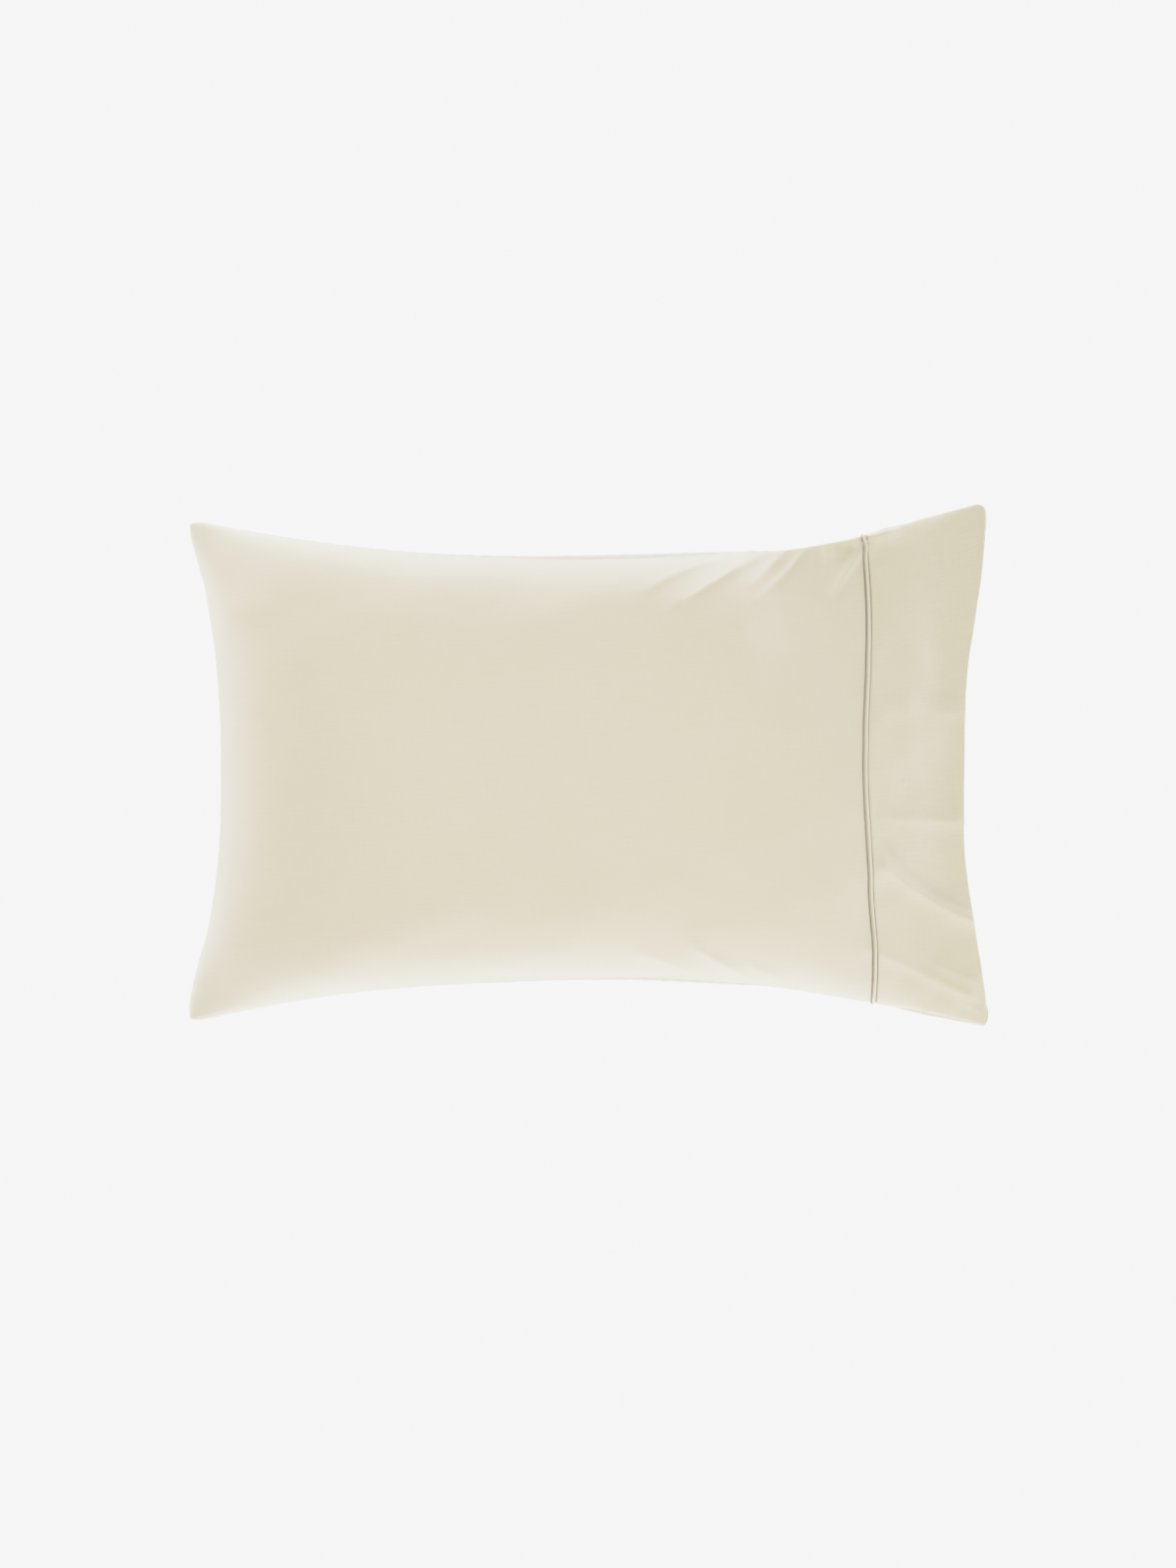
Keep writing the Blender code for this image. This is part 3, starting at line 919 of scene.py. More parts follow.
@dataclass(frozen=True)
class ClothFinish:
    """A cotton cloth: its colours in linear light, its weave and its soft gloss."""

    name: str
    colour: Colour
    shade: Colour
    streak: float = 0.70         # how much of the shade a thick thread's streak takes
    mottle: float = 0.35
    thread: float = 0.10         # how much darker the cloth is between its threads
    pitch: float = 0.45          # one thread, in millimetres
    relief: float = 0.05         # the weave's height, in millimetres
    streak_relief: float = 0.7   # a streak's height against a thread's
    edge_lightness: float = 0.18
    roughness: float = 0.45
    streak_roughness: float = 0.12
    gloss: float = 0.8
    painted_shade: Colour = (0.20, 0.23, 0.40)   # how dark the deepest painted shade, in a crease, is against the shade
    sheen: float = 0.2
    sheen_roughness: float = 0.45

    def material(self, weave: bpy.types.NodeTree) -> bpy.types.Material:
        """Makes the material.

        Colour goes from colour to shade with the streaks, the mottle and the gaps between
        threads, a little lighter where an edge is pressed, and much darker where painted shade
        stands for the shadow deep in a crease, which the light hardly reaches. Roughness follows
        the streaks, and the weave's height feeds a bump.

        Args:
            weave: the shared weave group.

        Returns:
            The material.
        """
        made = bpy.data.materials.new(self.name)
        made.use_nodes = True
        board = NodeBoard(made.node_tree)
        shader = made.node_tree.nodes["Principled BSDF"].inputs
        pattern = board.add("UVMap", {"uv_map": "cloth_pattern"})
        cloth = made.node_tree.nodes.new("ShaderNodeGroup")
        cloth.node_tree = weave
        board.plug(pattern.outputs["UV"], cloth.inputs["Pattern"])
        board.plug(self.pitch * MM, cloth.inputs["Pitch"])
        streak, mottle, thread = (cloth.outputs[name] for name in ("Streak", "Mottle", "Height"))
        # the attribute holds wear above 0 and painted shade below 0
        worn = board.add("Attribute", {"attribute_name": "pressed_edge_and_painted_shade"}).outputs["Fac"]
        share = board.sum("MULTIPLY_ADD", streak, self.streak * 2, 0.5)
        share = board.sum("MULTIPLY_ADD", mottle, self.mottle * 2, share)
        gap = board.sum("SUBTRACT", 1.0, thread)
        share = board.sum("MULTIPLY_ADD", gap, self.thread, share)
        share = board.sum("MULTIPLY_ADD", worn, -self.edge_lightness, share)
        share = board.spread(share, 0.0, 1.0)
        colour = board.blend(share, (*self.colour, 1.0), (*self.shade, 1.0))
        painted_shade_colour = tuple(part * dark for part, dark in zip(self.shade, self.painted_shade))
        # painted shade: below 0 the colour goes towards a dark copy of the shade
        colour = board.blend(board.spread(worn, 0.0, -1.0), colour, (*painted_shade_colour, 1.0))
        board.plug(colour, shader["Base Color"])
        rough = board.sum("MULTIPLY_ADD", streak, self.streak_roughness, self.roughness)
        board.plug(rough, shader["Roughness"])
        height = board.sum("MULTIPLY_ADD", streak, self.streak_relief, thread)
        bump = board.add("Bump", Strength=1.0, Distance=self.relief * MM, Height=height)
        board.plug(bump.outputs["Normal"], shader["Normal"])
        shader["Metallic"].default_value = 0.0
        shader["Specular IOR Level"].default_value = self.gloss
        shader["Sheen Weight"].default_value = self.sheen
        shader["Sheen Roughness"].default_value = self.sheen_roughness
        shader["Sheen Tint"].default_value = (1.0, 1.0, 1.0, 1.0)
        return made


@dataclass(frozen=True)
class Finishes:
    """The cloths of the case and of the pillow that fills it."""

    case: ClothFinish = ClothFinish("case_cotton", (0.775, 0.715, 0.575), (0.735, 0.672, 0.530),
                                    streak=1.0)
    # the cuff's cloth is the case's made a little darker: painted shade, for the softer light on
    # the cuff
    cuff: ClothFinish = ClothFinish("cuff_cotton", (0.752, 0.687, 0.538), (0.709, 0.642, 0.492),
                                    streak=1.5)
    tuck: ClothFinish = ClothFinish("tuck_cotton", (0.765, 0.705, 0.565), (0.722, 0.660, 0.518))
    filling: ClothFinish = ClothFinish("filling_cotton", (0.80, 0.79, 0.76), (0.76, 0.75, 0.72))
    thread: ClothFinish = ClothFinish("sewing_thread", (0.73, 0.67, 0.53), (0.66, 0.60, 0.47),
                                      pitch=0.18, relief=0.03, roughness=0.55, gloss=0.5,
                                      sheen=0.1)


@dataclass
class CaseBody:
    """The filled body: the front and back panel, sewn together, and the filling's end.

    Two grids share the points of the closed end, both side seams and the line where the
    filling's rounded end closes inside the cuff.
    """

    skin: CaseSkin
    rows: int = 290
    columns: int = 165
    filling_rows: int = 12
    seam_crowd: float = 0.72
    wall: float = 2.2
    cuff_edge: float = 9.0
    filling_end: float = 36.0
    filling_clearance: float = 1.2
    filling_narrowing: float = 0.14
    filling_plan: float = 0.4
    join_dip: float = 1.1        # the cloth dives into the join
    join_dip_width: float = 1.6
    tuck_line: float = 1.95      # the tuck's free edge presses a line this far from the join
    tuck_press: float = 1.9
    tuck_press_width: float = 0.9
    # painted shade along the tuck's free edge and in the seams
    tuck_painted_shade: float = 0.9
    seam_painted_shade: float = 0.8
    seam_painted_shade_width: float = 0.9
    wear_width: float = 3.5
    fold_rows_from: tuple[float, float] = (30.0, 70.0)   # rows get closer over this stretch
    fold_rows: float = 2.2       # how much closer the rows are there,
    end_rows: float = 3.0        # at the closed end
    end_rows_within: float = 14.0
    join_rows: float = 7.0       # and at the join
    join_rows_within: float = 8.0
    plan_power: int = 8          # how late across the filling's end turns in
    walk_steps: int = 6001       # the fine places in which the body's length is measured
    walk_crowd: int = 3          # the power by which they are closer at the closed end
    back_pattern_at: float = 2.1  # the back's middle in the flat pattern, in half widths

    def shares_along(self) -> Array:
        """Shares of the way from the closed end to the join, one for each row.

        The middle line is walked, and rows are dealt out by its length times a density that
        is higher where the folds are and within a few millimetres of the two ends.

        Returns:
            The shares, rising from 0 to 1.
        """
        fine = np.linspace(0, 1, self.walk_steps) ** self.walk_crowd
        middle = np.zeros(1)
        start, end = (self.skin.outline(edge, middle)[0] for edge in (CLOSED_END, JOIN))
        x = start + (end - start) * fine
        arc = walked(self.skin.plain(x, np.zeros_like(x), Panel.FRONT), 0)
        density = (1 + self.fold_rows * step(x, *self.fold_rows_from)
                   + self.end_rows * np.exp(-arc / self.end_rows_within)
                   + self.join_rows * np.exp(-(arc[-1] - arc) / self.join_rows_within))
        dealt = np.concatenate(([0], np.cumsum(np.diff(arc) * (density[1:] + density[:-1]) / 2)))
        return np.interp(np.linspace(0, 1, self.rows) * dealt[-1], dealt, fine)

    def join_height(self, from_join: Array) -> Array:
        """The dive into the join and the line that the tuck's free edge presses."""
        dive = self.join_dip * bell(from_join, self.join_dip_width)
        return -dive - self.tuck_press * bell(from_join - self.tuck_line, self.tuck_press_width)

    def panel_grid(self, panel: Panel, along: Array) -> Array:
        """One panel: its skin, then the filling's end.

        Args:
            panel: which panel.
            along: the rows' shares from the closed end to the join.

        Returns:
            The points, rows by columns.
        """
        skin = self.skin
        shares = crowded(self.columns, self.seam_crowd)

        def rows(angle: Array) -> Array:
            """The x of every row at one set of angles, or at each row's own."""
            start, join = skin.outline(CLOSED_END, angle), skin.outline(JOIN, angle)
            return start + (join - start) * (along if angle.ndim > 1 else along[:, None])

        angle = skin.even_angles(rows, panel, shares)
        start, join = skin.outline(CLOSED_END, angle), skin.outline(JOIN, angle)
        x = start + (join - start) * along[:, None]
        cover = skin.dressed(x, angle, panel, self.join_height(join - x))
        angle, join = angle[-1], join[-1]
        turn = np.linspace(0, math.pi / 2, self.filling_rows)[:, None]
        x = join + self.filling_end * np.sin(turn) * (
            1 - self.filling_plan * np.abs(np.sin(angle)) ** self.plan_power)
        half = (skin.section(x, "top") - skin.section(x, "bottom")) / 2
        narrower = (self.cuff_edge + self.filling_clearance
                    + half * self.filling_narrowing * (1 - np.cos(turn)))
        inside = skin.plain(x, angle, panel, self.wall + self.filling_clearance, narrower)
        seam = skin.section(x, "seam")
        inside[..., 2] = seam + (inside[..., 2] - seam) * np.cos(turn)
        return np.concatenate((cover, inside))

    def build(self, finishes: Sequence[bpy.types.Material]) -> bpy.types.Object:
        """Builds the body.

        Args:
            finishes: the case's cloth and the filling's cloth.

        Returns:
            The finished piece, which stands for the solid case_body.
        """
        along = self.shares_along()
        front = self.panel_grid(Panel.FRONT, along)
        back = self.panel_grid(Panel.BACK, along)
        numbers = np.arange(front[..., 0].size).reshape(front.shape[:2])
        inner = np.arange(back[1:-1, 1:-1, 0].size).reshape(back.shape[0] - 2, -1)
        back_numbers = numbers.copy()
        back_numbers[1:-1, 1:-1] = numbers.size + inner
        shared = np.ones(numbers.shape, bool)
        shared[1:-1, 1:-1] = False
        front[shared] = (front[shared] + back[shared]) / 2
        back[shared] = front[shared]
        points = np.concatenate((front.reshape(-1, 3), back[1:-1, 1:-1].reshape(-1, 3)))
        mesh = ClothMesh()
        across = flat_across(self.columns, self.seam_crowd)
        for panel, grid, own in ((Panel.FRONT, front, numbers), (Panel.BACK, back, back_numbers)):
            length = walked(grid, 0)
            length = length - length[self.rows - 1]
            aside = across + self.back_pattern_at * FLAT_HALF * (panel is Panel.BACK)
            flat = flat_places(length, aside)
            outward = panel is Panel.FRONT
            mesh.add_grid(own[:self.rows], flat[:self.rows], 0, outward)
            mesh.add_grid(own[self.rows - 1:], flat[self.rows - 1:], 1, outward)
        edge = self.wear_and_painted_shade(front, back)
        return mesh.build("case_body_cloth", points, edge, finishes)

    def wear_and_painted_shade(self, front: Array, back: Array) -> Array:
        """How pressed the cloth is: 1 beside the seams, fading over a few millimetres.

        Less than 0 is painted shade, standing for the shadow in the seams, along the tuck's free
        edge and beside some of the folds.

        Args:
            front: the front's points, rows by columns.
            back: the back's.

        Returns:
            A value for each point of the mesh.
        """
        worn = []
        for grid in (front, back):
            side = np.minimum(walked(grid, 1), walked(grid[:, ::-1], 1)[:, ::-1])
            end = walked(grid, 0)
            from_join = grid[self.rows - 1, :, 0] - grid[..., 0]
            near = np.minimum(side, end)
            # painted shade: darker along the tuck's free edge, in the seams and beside the folds
            tuck = self.tuck_painted_shade * bell(from_join - self.tuck_line, self.tuck_press_width)
            painted_shade = np.maximum(tuck, self.seam_painted_shade * bell(near, self.seam_painted_shade_width))
            if grid is front:
                folds = self.skin.fold_sum(grid[..., 0], grid[..., 1], "shade")
                painted_shade = np.maximum(painted_shade, folds)
            worn.append(worn_less_painted_shade(np.exp(-near / self.wear_width), painted_shade))
        return np.concatenate((worn[0].ravel(), worn[1][1:-1, 1:-1].ravel()))


@dataclass
class Cuff:
    """The deep cuff: a hollow sleeve, its outside, the hem at the mouth, its inside.

    One closed grid: round the case the columns run over the front and back again under it;
    along, the rows run out to the mouth, round the hem, in again and round the join's edge.
    """

    skin: CaseSkin
    columns: int = 184           # on each panel
    seam_crowd: float = 0.72
    outer_rows: int = 74
    hem_rows: int = 6
    inner_rows: int = 22
    gap: float = 0.35
    wall: float = 2.2
    edge: float = 9.0
    join_dip: float = 2.0
    join_dip_width: float = 2.0
    lip_dip: float = 0.9
    lip_dip_width: float = 6.0
    join_painted_shade: float = 0.9     # how dark the painted shade beside the tuck is,
    join_painted_shade_at: float = 2.6  # and how far from the join
    join_painted_shade_width: float = 1.25
    stitch_painted_shade: float = 0.18  # the same painted shade, in the dimples under the stitches
    stitch_painted_shade_at: float = 4.4
    stitch_painted_shade_width: float = 0.6
    # painted shade in the side seams
    seam_painted_shade: float = 0.5
    seam_painted_shade_width: float = 0.8
    wear_width: float = 3.0
    outer_crowd: float = 0.86
    unevenness: Ripples = Ripples(31, 48.0, 0.28, 0.8)
    uneven_from: float = 18.0    # how far from the join the unevenness has grown

    def rows_between(self, along: Array, angle: Array, panel: Panel) -> Array:
        """The x of rows at shares of the way from the join to the mouth.

        Args:
            along: the shares.
            angle: places across the cuff.
            panel: which panel.

        Returns:
            The x of each row at each angle.
        """
        join = self.skin.outline(JOIN, angle) + self.gap
        mouth = self.skin.outline(MOUTH_FRONT if panel is Panel.FRONT else MOUTH_BACK, angle)
        return join + (mouth - self.wall / 2 - join) * along

    def outside(self, x: Array, angle: Array, panel: Panel) -> Array:
        """The outer surface anywhere: it dives into the join and is a little uneven.

        The dive is a bell beside the join and, wider than that, e to the -distance / width.

        Args:
            x: places along the cuff.
            angle: places across it.
            panel: which panel.

        Returns:
            Points, with the last axis x, y, z.
        """
        from_join = x - self.skin.outline(JOIN, angle)
        away = np.maximum(from_join, 0)
        dive = (self.join_dip * bell(away, self.join_dip_width)
                + self.lip_dip * np.exp(-away / self.lip_dip_width))
        calm = 1 - bell(from_join, self.uneven_from)
        offset = self.skin.start.back_cuff * (panel is Panel.BACK)
        uneven = self.unevenness.at(x + offset, self.skin.plain(x, angle, panel)[..., 1])
        return self.skin.dressed(x, angle, panel, calm * uneven - dive)

    def panel_grid(self, panel: Panel) -> Array:
        """One panel of the sleeve.

        Args:
            panel: which panel.

        Returns:
            The points, rows by columns.
        """
        along = crowded(self.outer_rows, self.outer_crowd)[:, None]
        shares = crowded(self.columns, self.seam_crowd)
        angle = self.skin.even_angles(
            lambda fine: self.rows_between(along, fine, panel), panel, shares)
        x = self.rows_between(along, angle, panel)
        outer = self.outside(x, angle, panel)
        back_along = np.linspace(1, 0, self.inner_rows)[:, None]
        inner_angle = np.broadcast_to(angle[-1], (self.inner_rows, self.columns))
        x = self.rows_between(back_along, inner_angle, panel)
        inner = self.skin.plain(x, inner_angle, panel, self.wall, self.edge)
        turn = np.linspace(0, math.pi, self.hem_rows + 2)[1:-1, None, None]
        middle = (outer[-1] + inner[0]) / 2
        half = (outer[-1] - inner[0]) / 2
        out = unit(outer[-1] - outer[-2]) * np.minimum(
            np.linalg.norm(half, axis=-1, keepdims=True), self.wall / 2)
        hem = middle + half * np.cos(turn) + out * np.sin(turn)
        hem[..., 2] = np.maximum(hem[..., 2], 0.0)
        return np.concatenate((outer, hem, inner))

    def build(self, finishes: Sequence[bpy.types.Material]) -> bpy.types.Object:
        """Builds the cuff.

        Args:
            finishes: the cuff's cloth.

        Returns:
            The finished piece, which stands for the solid cuff.
        """
        front, back = (self.panel_grid(panel) for panel in (Panel.FRONT, Panel.BACK))
        for column in (0, -1):
            front[:, column] = (front[:, column] + back[:, column]) / 2
        ring = np.concatenate((front, back[:, -2:0:-1]), axis=1)
        rows, columns = ring.shape[:2]
        numbers = wrapped(np.arange(rows * columns).reshape(rows, columns))
        across = flat_across(self.columns, self.seam_crowd)
        around = np.concatenate((across, 2 * FLAT_HALF + across[1:]))
        mesh = ClothMesh()
        mesh.add_grid(numbers, flat_places(walked(wrapped(ring), 0), around), 0, True)
        return mesh.build("cuff_cloth", ring.reshape(-1, 3), self.wear_and_painted_shade(ring), finishes)

    def wear_and_painted_shade(self, ring: Array) -> Array:
        """How pressed the cloth is: most at the hem and the two side seams.

        Less than 0 is painted shade, standing for the shadow beside the tuck, under the
        stitches, in the side seams and in some of the folds.

        Args:
            ring: the cuff's points, rows by columns.

        Returns:
            A value for each point.
        """
        length = walked(ring, 0)
        hem = np.abs(length - length[self.outer_rows + self.hem_rows // 2])
        seams = np.stack([np.linalg.norm(ring - ring[:, column:column + 1], axis=-1)
                          for column in (0, self.columns - 1)]).min(axis=0)
        near = np.minimum(np.minimum(hem, seams), length)
        # painted shade beside the tuck, under the stitches, in the side seams and in the folds
        join = self.join_painted_shade * bell(length - self.join_painted_shade_at, self.join_painted_shade_width)
        thread = self.stitch_painted_shade * bell(
            length - self.stitch_painted_shade_at, self.stitch_painted_shade_width)
        side = self.seam_painted_shade * bell(seams, self.seam_painted_shade_width)
        folds = self.skin.fold_sum(ring[..., 0], ring[..., 1], "shade")
        folds[:, self.columns:] = 0
        folds[self.outer_rows:] = 0
        painted_shade = np.max((join, thread, side, folds), axis=0)
        return worn_less_painted_shade(np.exp(-near / self.wear_width), painted_shade).ravel()


@dataclass
class JoinTuck:
    """The narrow folded strip that is caught in the join, all the way round the case.

    profile gives its section: the share of its width from the free fold to the join, and
    the height over the body's cloth, in millimetres.
    """

    skin: CaseSkin
    overlap: float = 1.1         # how far it lies over the cuff
    width: float = 2.4
    around: int = 300            # places on each panel
    seam_crowd: float = 0.6
    crown_above: float = 1.2     # over this height it is worn
    crown_wear: float = 0.6
    foot_below: float = 0.4      # under this height it has painted shade, as in its own crease
    foot_painted_shade: float = 0.7
    profile: tuple[tuple[float, float], ...] = (
        (0.06, 0.15), (0.015, 0.32), (0.0, 0.62), (0.02, 0.95), (0.08, 1.25), (0.18, 1.45),
        (0.34, 1.5), (0.52, 1.42), (0.70, 1.25), (0.84, 1.0), (0.94, 0.65), (1.0, 0.15),
        (1.0, -0.6), (0.85, -0.5), (0.5, -0.1), (0.2, 0.0),
    )

    def line(self, from_join: float, panel: Panel) -> Array:
        """A line of points over the cloth, beside the join.

        Args:
            from_join: how far to the left of the join.
            panel: which panel.

        Returns:
            The points, from the lower side seam to the upper one.
        """
        shares = crowded(self.around, self.seam_crowd)
        angle = self.skin.even_angles(
            lambda fine: self.skin.outline(JOIN, fine)[None] - from_join, panel, shares)[0]
        return self.skin.dressed(self.skin.outline(JOIN, angle) - from_join, angle, panel)

    def ring(self, from_join: float) -> Array:
        """That line on both panels, as one closed ring.

        Args:
            from_join: how far to the left of the join.

        Returns:
            The points, over the front and back under the case.
        """
        front, back = self.line(from_join, Panel.FRONT), self.line(from_join, Panel.BACK)
        for end in (0, -1):
            front[end] = (front[end] + back[end]) / 2
        return np.concatenate((front, back[-2:0:-1]))

    def build(self, finishes: Sequence[bpy.types.Material]) -> bpy.types.Object:
        """Builds the strip: each profile point is carried round as a ring.

        Args:
            finishes: the strip's cloth.

        Returns:
            The finished piece, which stands for the solid join_tuck.
        """
        left = self.ring(self.width - self.overlap)
        right = self.ring(-self.overlap)
        along = np.roll(right, -1, axis=0) - np.roll(right, 1, axis=0)
        normal = unit(np.cross(right - left, along))
        walk = walked(np.concatenate((right, right[:1])), 0)
        rings = np.array([left + (right - left) * share + normal * height
                          for share, height in self.profile])
        rings[..., 2] = np.maximum(rings[..., 2], 0.0)
        count, around = rings.shape[:2]
        numbers = wrapped(np.arange(count * around).reshape(count, around))
        mesh = ClothMesh()
        mesh.add_grid(numbers, flat_places(walked(wrapped(rings), 0), walk), 0, True)
        heights = np.array([height for _, height in self.profile])
        worn = (heights > self.crown_above) * self.crown_wear
        # painted shade on the tuck's foot
        worn = worn - (heights < self.foot_below) * self.foot_painted_shade
        edge = np.broadcast_to(worn[:, None], (count, around))
        return mesh.build("join_tuck_cloth", rings.reshape(-1, 3), edge.ravel(), finishes)


@dataclass
class JoinStitches:
    """The row of small stitches on the cuff, just right of the join, on both panels."""

    cuff: Cuff
    pitch: float = 2.2
    length: float = 1.6
    thickness: float = 0.5
    from_join: float = 4.4
    rings: int = 5
    taper: int = 3               # how late a stitch thins towards its ends
    tip: float = 0.25            # its thickness there, against its middle
    ahead: float = 0.5           # how far ahead the cloth is read for its normal
    walk_steps: int = 2400       # the fine places in which the row is measured
    ends: float = 0.004          # the share of the row left bare at each side seam

    SIDES = 6                    # the caps are made for six
    NEAR_CAP = ((0, 5, 4, 3), (0, 3, 2, 1))
    FAR_CAP = ((0, 1, 2, 3), (0, 3, 4, 5))

    def centres(self, panel: Panel) -> tuple[Array, Array, Array]:
        """Where the stitches lie.

        Args:
            panel: which panel.

        Returns:
            Each stitch's middle, the direction it runs in and the cloth's normal there.
        """
        skin = self.cuff.skin
        shares = np.linspace(self.ends, 1 - self.ends, self.walk_steps)
        angle = skin.even_angles(
            lambda fine: skin.outline(JOIN, fine)[None] + self.from_join, panel, shares)[0]
        x = skin.outline(JOIN, angle) + self.from_join
        line = self.cuff.outside(x, angle, panel)
        next_line = self.cuff.outside(x + self.ahead, angle, panel)
        along = np.gradient(line, axis=0)
        normal = unit(np.cross(next_line - line, along) * panel.value)
        walk = walked(line, 0)
        places = np.arange(self.pitch, walk[-1] - self.pitch, self.pitch)

        def pick(values: Array) -> Array:
            """The values at the stitches' places along the row."""
            return np.stack([np.interp(places, walk, values[:, k]) for k in range(3)], axis=1)

        return pick(line), unit(pick(along)), unit(pick(normal))

    def build(self, finishes: Sequence[bpy.types.Material]) -> bpy.types.Object:
        """Builds all stitches as one mesh of small spindles.

        Each is a ring of a few sides carried along its length, thinner at both ends and sunk
        by half its thickness.

        Args:
            finishes: the thread.

        Returns:
            The finished piece.
        """
        sets = [self.centres(panel) for panel in Panel]
        middle, along, normal = (np.concatenate([s[k] for s in sets]) for k in range(3))
        aside = np.cross(along, normal)
        t = np.linspace(-1, 1, self.rings)
        radius = self.thickness / 2 * np.maximum(1 - np.abs(t) ** self.taper, self.tip)
        turn = np.arange(self.SIDES) * 2 * math.pi / self.SIDES
        offset = np.stack((np.cos(turn), np.sin(turn)), axis=1)
        body = (middle[:, None, None]
                + along[:, None, None] * (t * self.length / 2)[None, :, None, None]
                + aside[:, None, None] * (radius[:, None] * offset[:, 0])[None, ..., None]
                + normal[:, None, None] * (radius[:, None] * offset[:, 1])[None, ..., None])
        points = body.reshape(-1, 3)
        count = self.rings * self.SIDES
        numbers = np.arange(count).reshape(self.rings, self.SIDES)
        numbers = np.concatenate((numbers, numbers[:, :1]), axis=1)
        corners = [np.s_[:-1, :-1], np.s_[:-1, 1:], np.s_[1:, 1:], np.s_[1:, :-1]]
        quads = np.stack([numbers[c].ravel() for c in corners], axis=1)
        far_cap = count - self.SIDES + np.array(self.FAR_CAP)
        one = np.concatenate((quads, np.array(self.NEAR_CAP), far_cap))
        every = (one[None] + count * np.arange(len(middle))[:, None, None]).reshape(-1, 4)
        flat = np.stack((points[:, 0], points[:, 1] + points[:, 2]), axis=1) * MM
        mesh = ClothMesh(quads=[every], pattern=[flat[every]], finish=[np.zeros(len(every))])
        return mesh.build("join_stitches", points, np.zeros(len(points)), finishes)


@dataclass(frozen=True)
class SoftLight:
    """A square soft box: where it hangs, what it faces, its side in metres and its power."""

    name: str
    place: tuple[float, float, float]
    side: float
    watts: float
    colour: Colour = (1.0, 1.0, 1.0)
    aim: tuple[float, float, float] = (0.0, 0.0, 0.08)

    def hang(self) -> None:
        """Makes the light."""
        data = bpy.data.lights.new(self.name, "AREA")
        data.shape = "SQUARE"
        data.size = self.side
        data.energy = self.watts
        data.color = self.colour
        light = bpy.data.objects.new(self.name, data)
        light.location = self.place
        facing = Vector(self.aim) - Vector(self.place)
        light.rotation_euler = facing.to_track_quat("-Z", "Y").to_euler()
        bpy.context.scene.collection.objects.link(light)


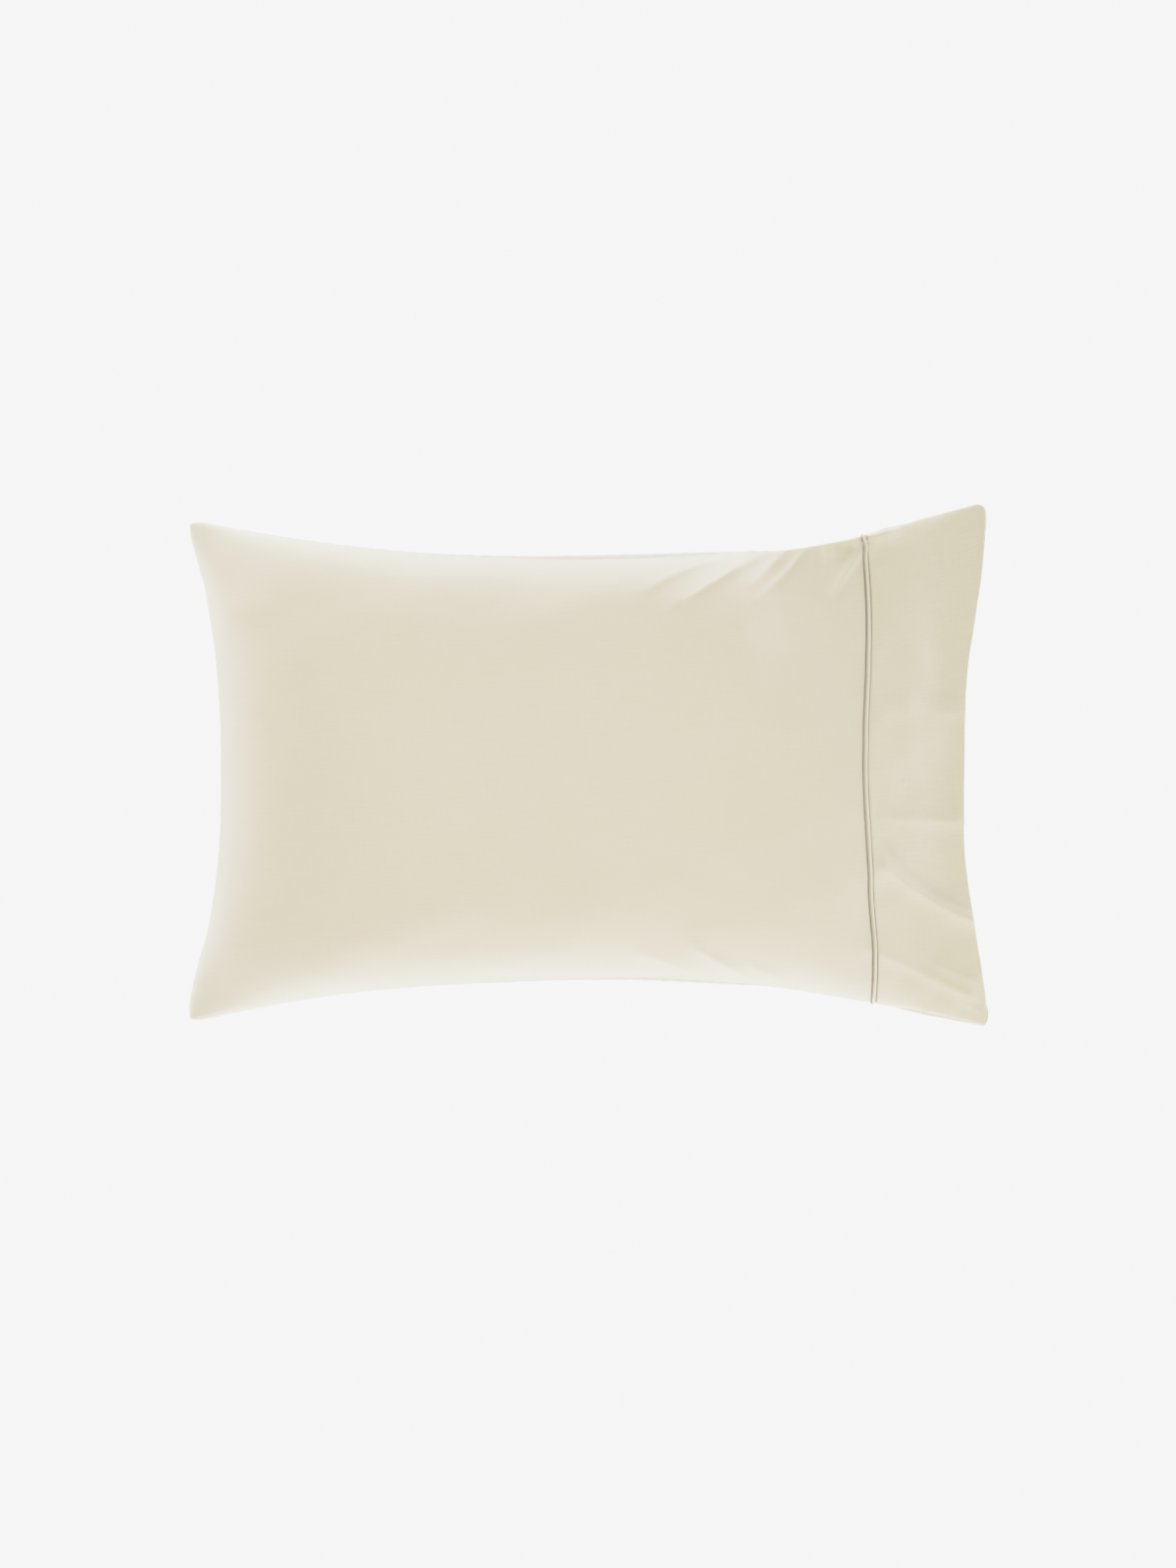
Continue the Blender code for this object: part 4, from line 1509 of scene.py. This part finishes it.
@dataclass
class Studio:
    """The pale floor, the soft light round the case and the camera straight above it."""

    floor_side: float = 40.0
    pale: float = 2.55           # what the camera sees of the far wall, as bright as the floor
    fill: float = 0.0            # the far wall's light on the case
    floor_glow: float = 2.35     # what the camera sees of the floor
    floor_light: float = 3.8     # and what the floor sheds on the case
    floor_near: float = 1.2      # the same close to the case and under it
    footprint: tuple[float, float] = (0.38, 0.25)
    near_ends: float = 1.5       # the near floor ends at so many times the footprint
    floor_colour: Colour = (1.0, 0.98, 0.90)
    floor_tone: tuple[float, float] = (0.145, 0.155)
    grain_scale: float = 3.0     # the slow change of that tone
    grain_detail: float = 2.0
    floor_drop: float = 0.0006   # how far the floor lies under the case
    lights: tuple[SoftLight, ...] = (
        SoftLight("overhead", (0.0, 0.0, 2.6), 1.6, 58.9, (1.0, 0.92, 0.745)),
        SoftLight("upper_side", (0.0, 2.3, 0.45), 0.8, 9.5, (0.92, 0.90, 1.0)),
        SoftLight("upper_left", (-1.63, 1.63, 1.1), 1.0, 16.0, (1.0, 0.86, 0.68)),
        SoftLight("lower_side", (0.0, -2.3, 0.65), 0.8, 16.9, (1.0, 0.80, 0.69)),
        SoftLight("lower_right", (1.63, -1.63, 1.1), 1.0, 14.4, (1.0, 0.98, 0.84)),
    )
    camera_place: tuple[float, float, float] = (-0.0015, -0.0172, 3.178)
    lens: float = 78.81
    sensor: float = 36.0
    sees_to: float = 100.0

    def floor(self) -> bpy.types.Object:
        """A flat grid just under the case, glowing so that it shows no shadow.

        Its glow on the case is less near the case, as real floors are darker there.

        Returns:
            The floor.
        """
        half = self.floor_side / 2
        u, v = np.meshgrid((-half, half), (-half, half), indexing="ij")
        mesh = bpy.data.meshes.new("floor")
        points = np.stack((u, v, np.full_like(u, -self.floor_drop)), axis=-1).reshape(-1, 3)
        mesh.from_pydata(points.tolist(), [], [(0, 2, 3, 1)])
        made = bpy.data.materials.new("pale_floor")
        made.use_nodes = True
        board = NodeBoard(made.node_tree)
        shader = made.node_tree.nodes["Principled BSDF"]
        grain = board.add("TexNoise", Scale=self.grain_scale, Detail=self.grain_detail)
        tone = board.spread(grain.outputs["Fac"], 0, 1, *self.floor_tone)
        grey = board.add("CombineColor", Red=tone, Green=tone, Blue=tone)
        board.plug(grey.outputs[0], shader.inputs["Base Color"])
        shader.inputs["Roughness"].default_value = 1.0
        shader.inputs["Specular IOR Level"].default_value = 0.0
        place = board.add("TexCoord").outputs["Object"]
        scaled = board.add("VectorMath", {"operation": "DIVIDE"})
        board.plug(place, scaled.inputs[0])
        board.plug((*self.footprint, 1.0), scaled.inputs[1])
        away = board.add("VectorMath", {"operation": "LENGTH"})
        board.plug(scaled.outputs[0], away.inputs[0])
        near = board.spread(away.outputs["Value"], 1.0, self.near_ends, self.floor_near,
                            self.floor_light)
        seen = board.add("LightPath").outputs["Is Camera Ray"]
        glow = board.blend(seen, (*self.floor_colour, 1.0), (1.0, 1.0, 1.0, 1.0))
        board.plug(glow, shader.inputs["Emission Color"])
        strength = board.spread(seen, 0, 1, near, self.floor_glow)
        board.plug(strength, shader.inputs["Emission Strength"])
        mesh.materials.append(made)
        piece = bpy.data.objects.new("floor", mesh)
        bpy.context.scene.collection.objects.link(piece)
        return piece

    def far_wall(self) -> None:
        """The world: as pale as the floor to the camera, and its own strength as light."""
        world = bpy.data.worlds.new("far_wall")
        world.use_nodes = True
        board = NodeBoard(world.node_tree)
        shown = world.node_tree.nodes["Background"]
        rays = board.add("LightPath")
        strength = board.spread(rays.outputs["Is Camera Ray"], 0, 1, self.fill, self.pale)
        board.plug(strength, shown.inputs["Strength"])
        shown.inputs["Color"].default_value = (1.0, 1.0, 1.0, 1.0)
        bpy.context.scene.world = world

    def camera(self) -> None:
        """The camera, as the photograph sees the case: straight down, from 3.2 metres."""
        data = bpy.data.cameras.new("camera")
        data.lens = self.lens
        data.sensor_width = self.sensor
        data.clip_end = self.sees_to
        camera = bpy.data.objects.new("camera", data)
        camera.location = self.camera_place
        bpy.context.scene.collection.objects.link(camera)
        bpy.context.scene.camera = camera

    def build(self) -> None:
        """Builds the studio."""
        self.floor()
        self.far_wall()
        self.camera()
        for light in self.lights:
            light.hang()
        bpy.context.scene.view_settings.view_transform = "Filmic"
        bpy.context.scene.view_settings.look = "Very High Contrast"


def report(piece: bpy.types.Object) -> None:
    """Logs a piece's name and how many points and faces it has."""
    log.info("%s: %d points, %d faces", piece.name, len(piece.data.vertices),
             len(piece.data.polygons))


def main() -> None:
    """Builds the studio and the case, piece by piece, puts each piece under the root body, logs
    it and hides the solids.
    """
    logging.basicConfig(level=logging.INFO, format="%(name)s: %(message)s")
    Studio().build()
    finishes = Finishes()
    weave = PlainWeave().group()
    skin = CaseSkin()
    case_cloth = finishes.case.material(weave)
    cuff_cloth = finishes.cuff.material(weave)
    tuck_cloth = finishes.tuck.material(weave)
    filling_cloth = finishes.filling.material(weave)
    thread = finishes.thread.material(weave)

    body = CaseBody(skin).build([case_cloth, filling_cloth])
    cuff_maker = Cuff(skin)
    cuff = cuff_maker.build([cuff_cloth])
    tuck = JoinTuck(skin).build([tuck_cloth])
    stitches = JoinStitches(cuff_maker).build([thread])
    for piece in (body, cuff, tuck, stitches):
        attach(piece, "root")
        report(piece)
    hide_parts("case_body")
    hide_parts("cuff")
    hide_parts("join_tuck")


if __name__ == "__main__":
    main()
